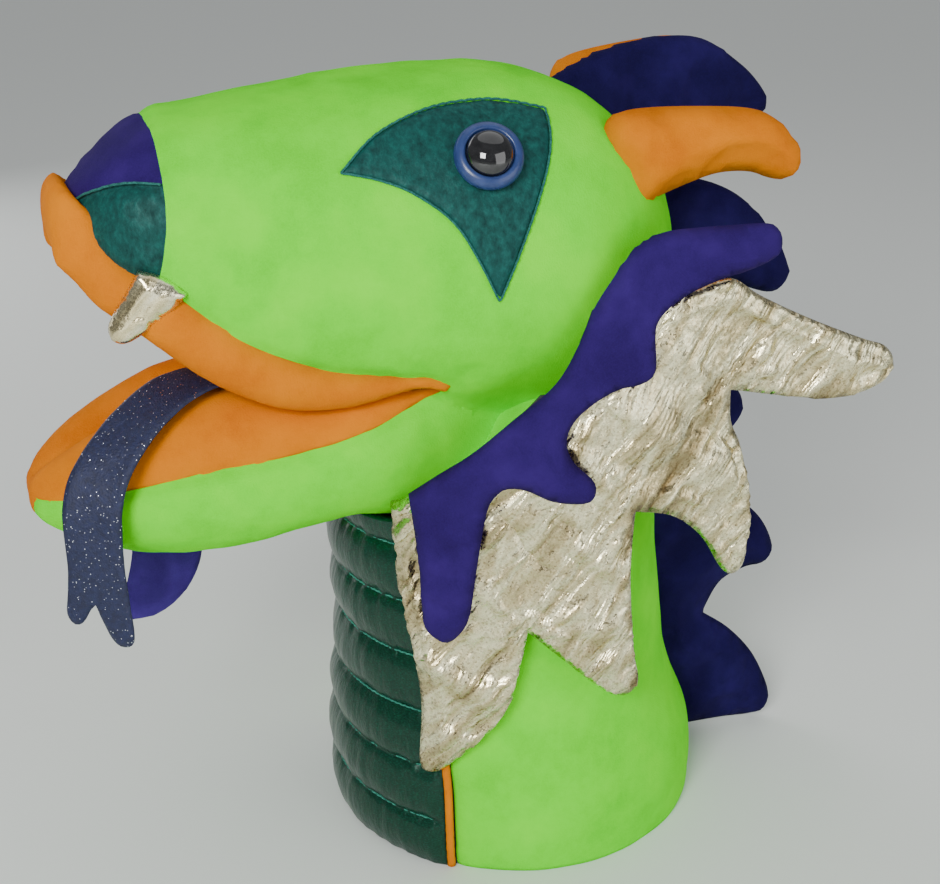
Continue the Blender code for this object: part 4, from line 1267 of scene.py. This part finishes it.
def add_tongue():
    path = smooth_run([p for p, _ in TONGUE_PATH], 8)
    side = smooth_run([s for _, s in TONGUE_PATH], 8)
    length = np.r_[0, np.cumsum(np.linalg.norm(np.diff(path, axis=0), axis=1))]
    total = length[-1]
    half = TONGUE_HALF_WIDTH
    loop = closed_outline([
        [(0, -half), (total * 0.5, -half + 0.4), (total * 0.8, -half + 1.5), (total - 20, -half + 0.5),
         (total - 8, -half - 1.5), (total - 3, -half + 1), (total - 4, -half + 5), (total - 10, -half + 9)],
        [(total - 10, -half + 9), (total - 13, -1.5)],
        [(total - 13, -1.5), (total - 4, 1.5), (total + 2, 4), (total + 5, 8), (total + 3, half),
         (total - 6, half + 1.5), (total - 24, half), (total * 0.8, half - 1), (total * 0.5, half),
         (0, half)],
        [(0, half), (0, -half)],
    ], 5)
    flat, triangles = filled(loop, 1.9)
    depth = np.maximum(outline_distance(flat, resample(loop, 1.9)), 0)
    thick = 0.35 + 0.65 * np.sqrt(np.clip(depth / 1.5, 0, 1))
    at = np.clip(flat[:, 0], 0, None)
    centre = np.stack([np.interp(at, length, path[:, k]) for k in range(3)], 1)
    across = unit(np.stack([np.interp(at, length, side[:, k]) for k in range(3)], 1))
    tangent = unit(np.gradient(path, axis=0))
    ahead = np.stack([np.interp(at, length, tangent[:, k]) for k in range(3)], 1)
    over = np.maximum(flat[:, :1] - total, 0)
    up = unit(np.cross(across, ahead) * -1)
    ripple = (0.9 * np.sin(flat[:, 0] / 13.0) * (flat[:, 1] / half)
              + 0.5 * wander(np.c_[flat, flat[:, 0] * 0], 9, 70))
    base = centre + across * flat[:, 1:] + ahead * over + up * ripple[:, None]
    curl = (0.9 * (flat[:, 1] / half) ** 2 * smoothstep((flat[:, 0] - total * 0.55) / 40))[:, None]
    base = base + up * curl
    top, under = base + up * thick[:, None], base - up * thick[:, None]
    points = np.vstack([top, under])
    count = len(flat)
    faces = [list(t) for t in triangles] + [[i + count for i in reversed(t)] for t in triangles]
    edges = {}
    for t in triangles:
        for a, b in zip(t, t[1:] + t[:1]):
            edges[(a, b)] = edges.get((a, b), 0) + 1
    for a, b in edges:
        if (b, a) not in edges:
            faces.append([b, a, a + count, b + count])
    obj = make_piece("tongue_glitter", points, faces, "glitter", None, ["tongue_root", "tongue_tip"])
    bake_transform(obj)


# -------------------- studio


def add_studio():
    floor = new_object("floor", [(-6, -6, 0), (6, -6, 0), (6, 6, 0), (-6, 6, 0)], [(0, 1, 2, 3)])
    n = Nodes("pale_floor")
    n.set(Roughness=0.85, Base_Color=(0.80, 0.83, 0.80, 1))
    floor.data.materials.append(n.material)

    world = bpy.data.worlds.new("studio")
    bpy.context.scene.world = world
    world.use_nodes = True
    background = world.node_tree.nodes["Background"]
    background.inputs["Color"].default_value = (0.86, 0.88, 0.92, 1)
    background.inputs["Strength"].default_value = 0.24

    middle = Vector((0, HEM_Y - 0.03, 0.2))
    lights = [  # name, place, size in metres or None for a sun, power
        ("key", (1.25, -0.95, 0.95), 0.55, 27),
        ("fill", (1.2, 0.7, 0.5), 1.0, 7),
        ("far", (-1.3, -0.6, 0.7), 1.0, 6),
        ("sky", (-0.5, 0.6, 3.0), None, 0.75),
    ]
    for name, place, size, power in lights:
        data = bpy.data.lights.new(name, "AREA" if size else "SUN")
        if size:
            data.size = size
        else:
            data.angle = math.radians(70)
        data.energy = power
        light = bpy.data.objects.new(name, data)
        light.location = place
        light.rotation_euler = (middle - Vector(place)).to_track_quat("-Z", "Y").to_euler()
        bpy.context.scene.collection.objects.link(light)

    target = Vector((0, HEM_Y - 0.0227, 0.1816))
    level = math.cos(CAMERA_ELEVATION)
    back = Vector((math.sin(CAMERA_AZIMUTH) * level, -math.cos(CAMERA_AZIMUTH) * level,
                   math.sin(CAMERA_ELEVATION)))
    data = bpy.data.cameras.new("camera")
    data.lens = CAMERA_LENS
    data.sensor_width = 36
    camera = bpy.data.objects.new("camera", data)
    camera.location = target + back * CAMERA_DISTANCE
    camera.rotation_euler = (-back).to_track_quat("-Z", "Y").to_euler()
    bpy.context.scene.collection.objects.link(camera)
    bpy.context.scene.camera = camera


def main():
    add_studio()
    finish_cad_nodes()
    hull_points, hull_faces = build_hull()
    tree = BVHTree.FromPolygons([Vector(p) for p in hull_points], hull_faces)
    add_skins(hull_points, hull_faces)
    add_upper_lining(tree)
    add_lower_lining(tree)
    add_eye_patches(hull_points, hull_faces, tree)
    add_nostril_stitching(tree)
    add_eyes()
    add_fangs()
    add_fins()
    add_horns()
    add_neck()
    add_frills()
    add_tongue()


main()
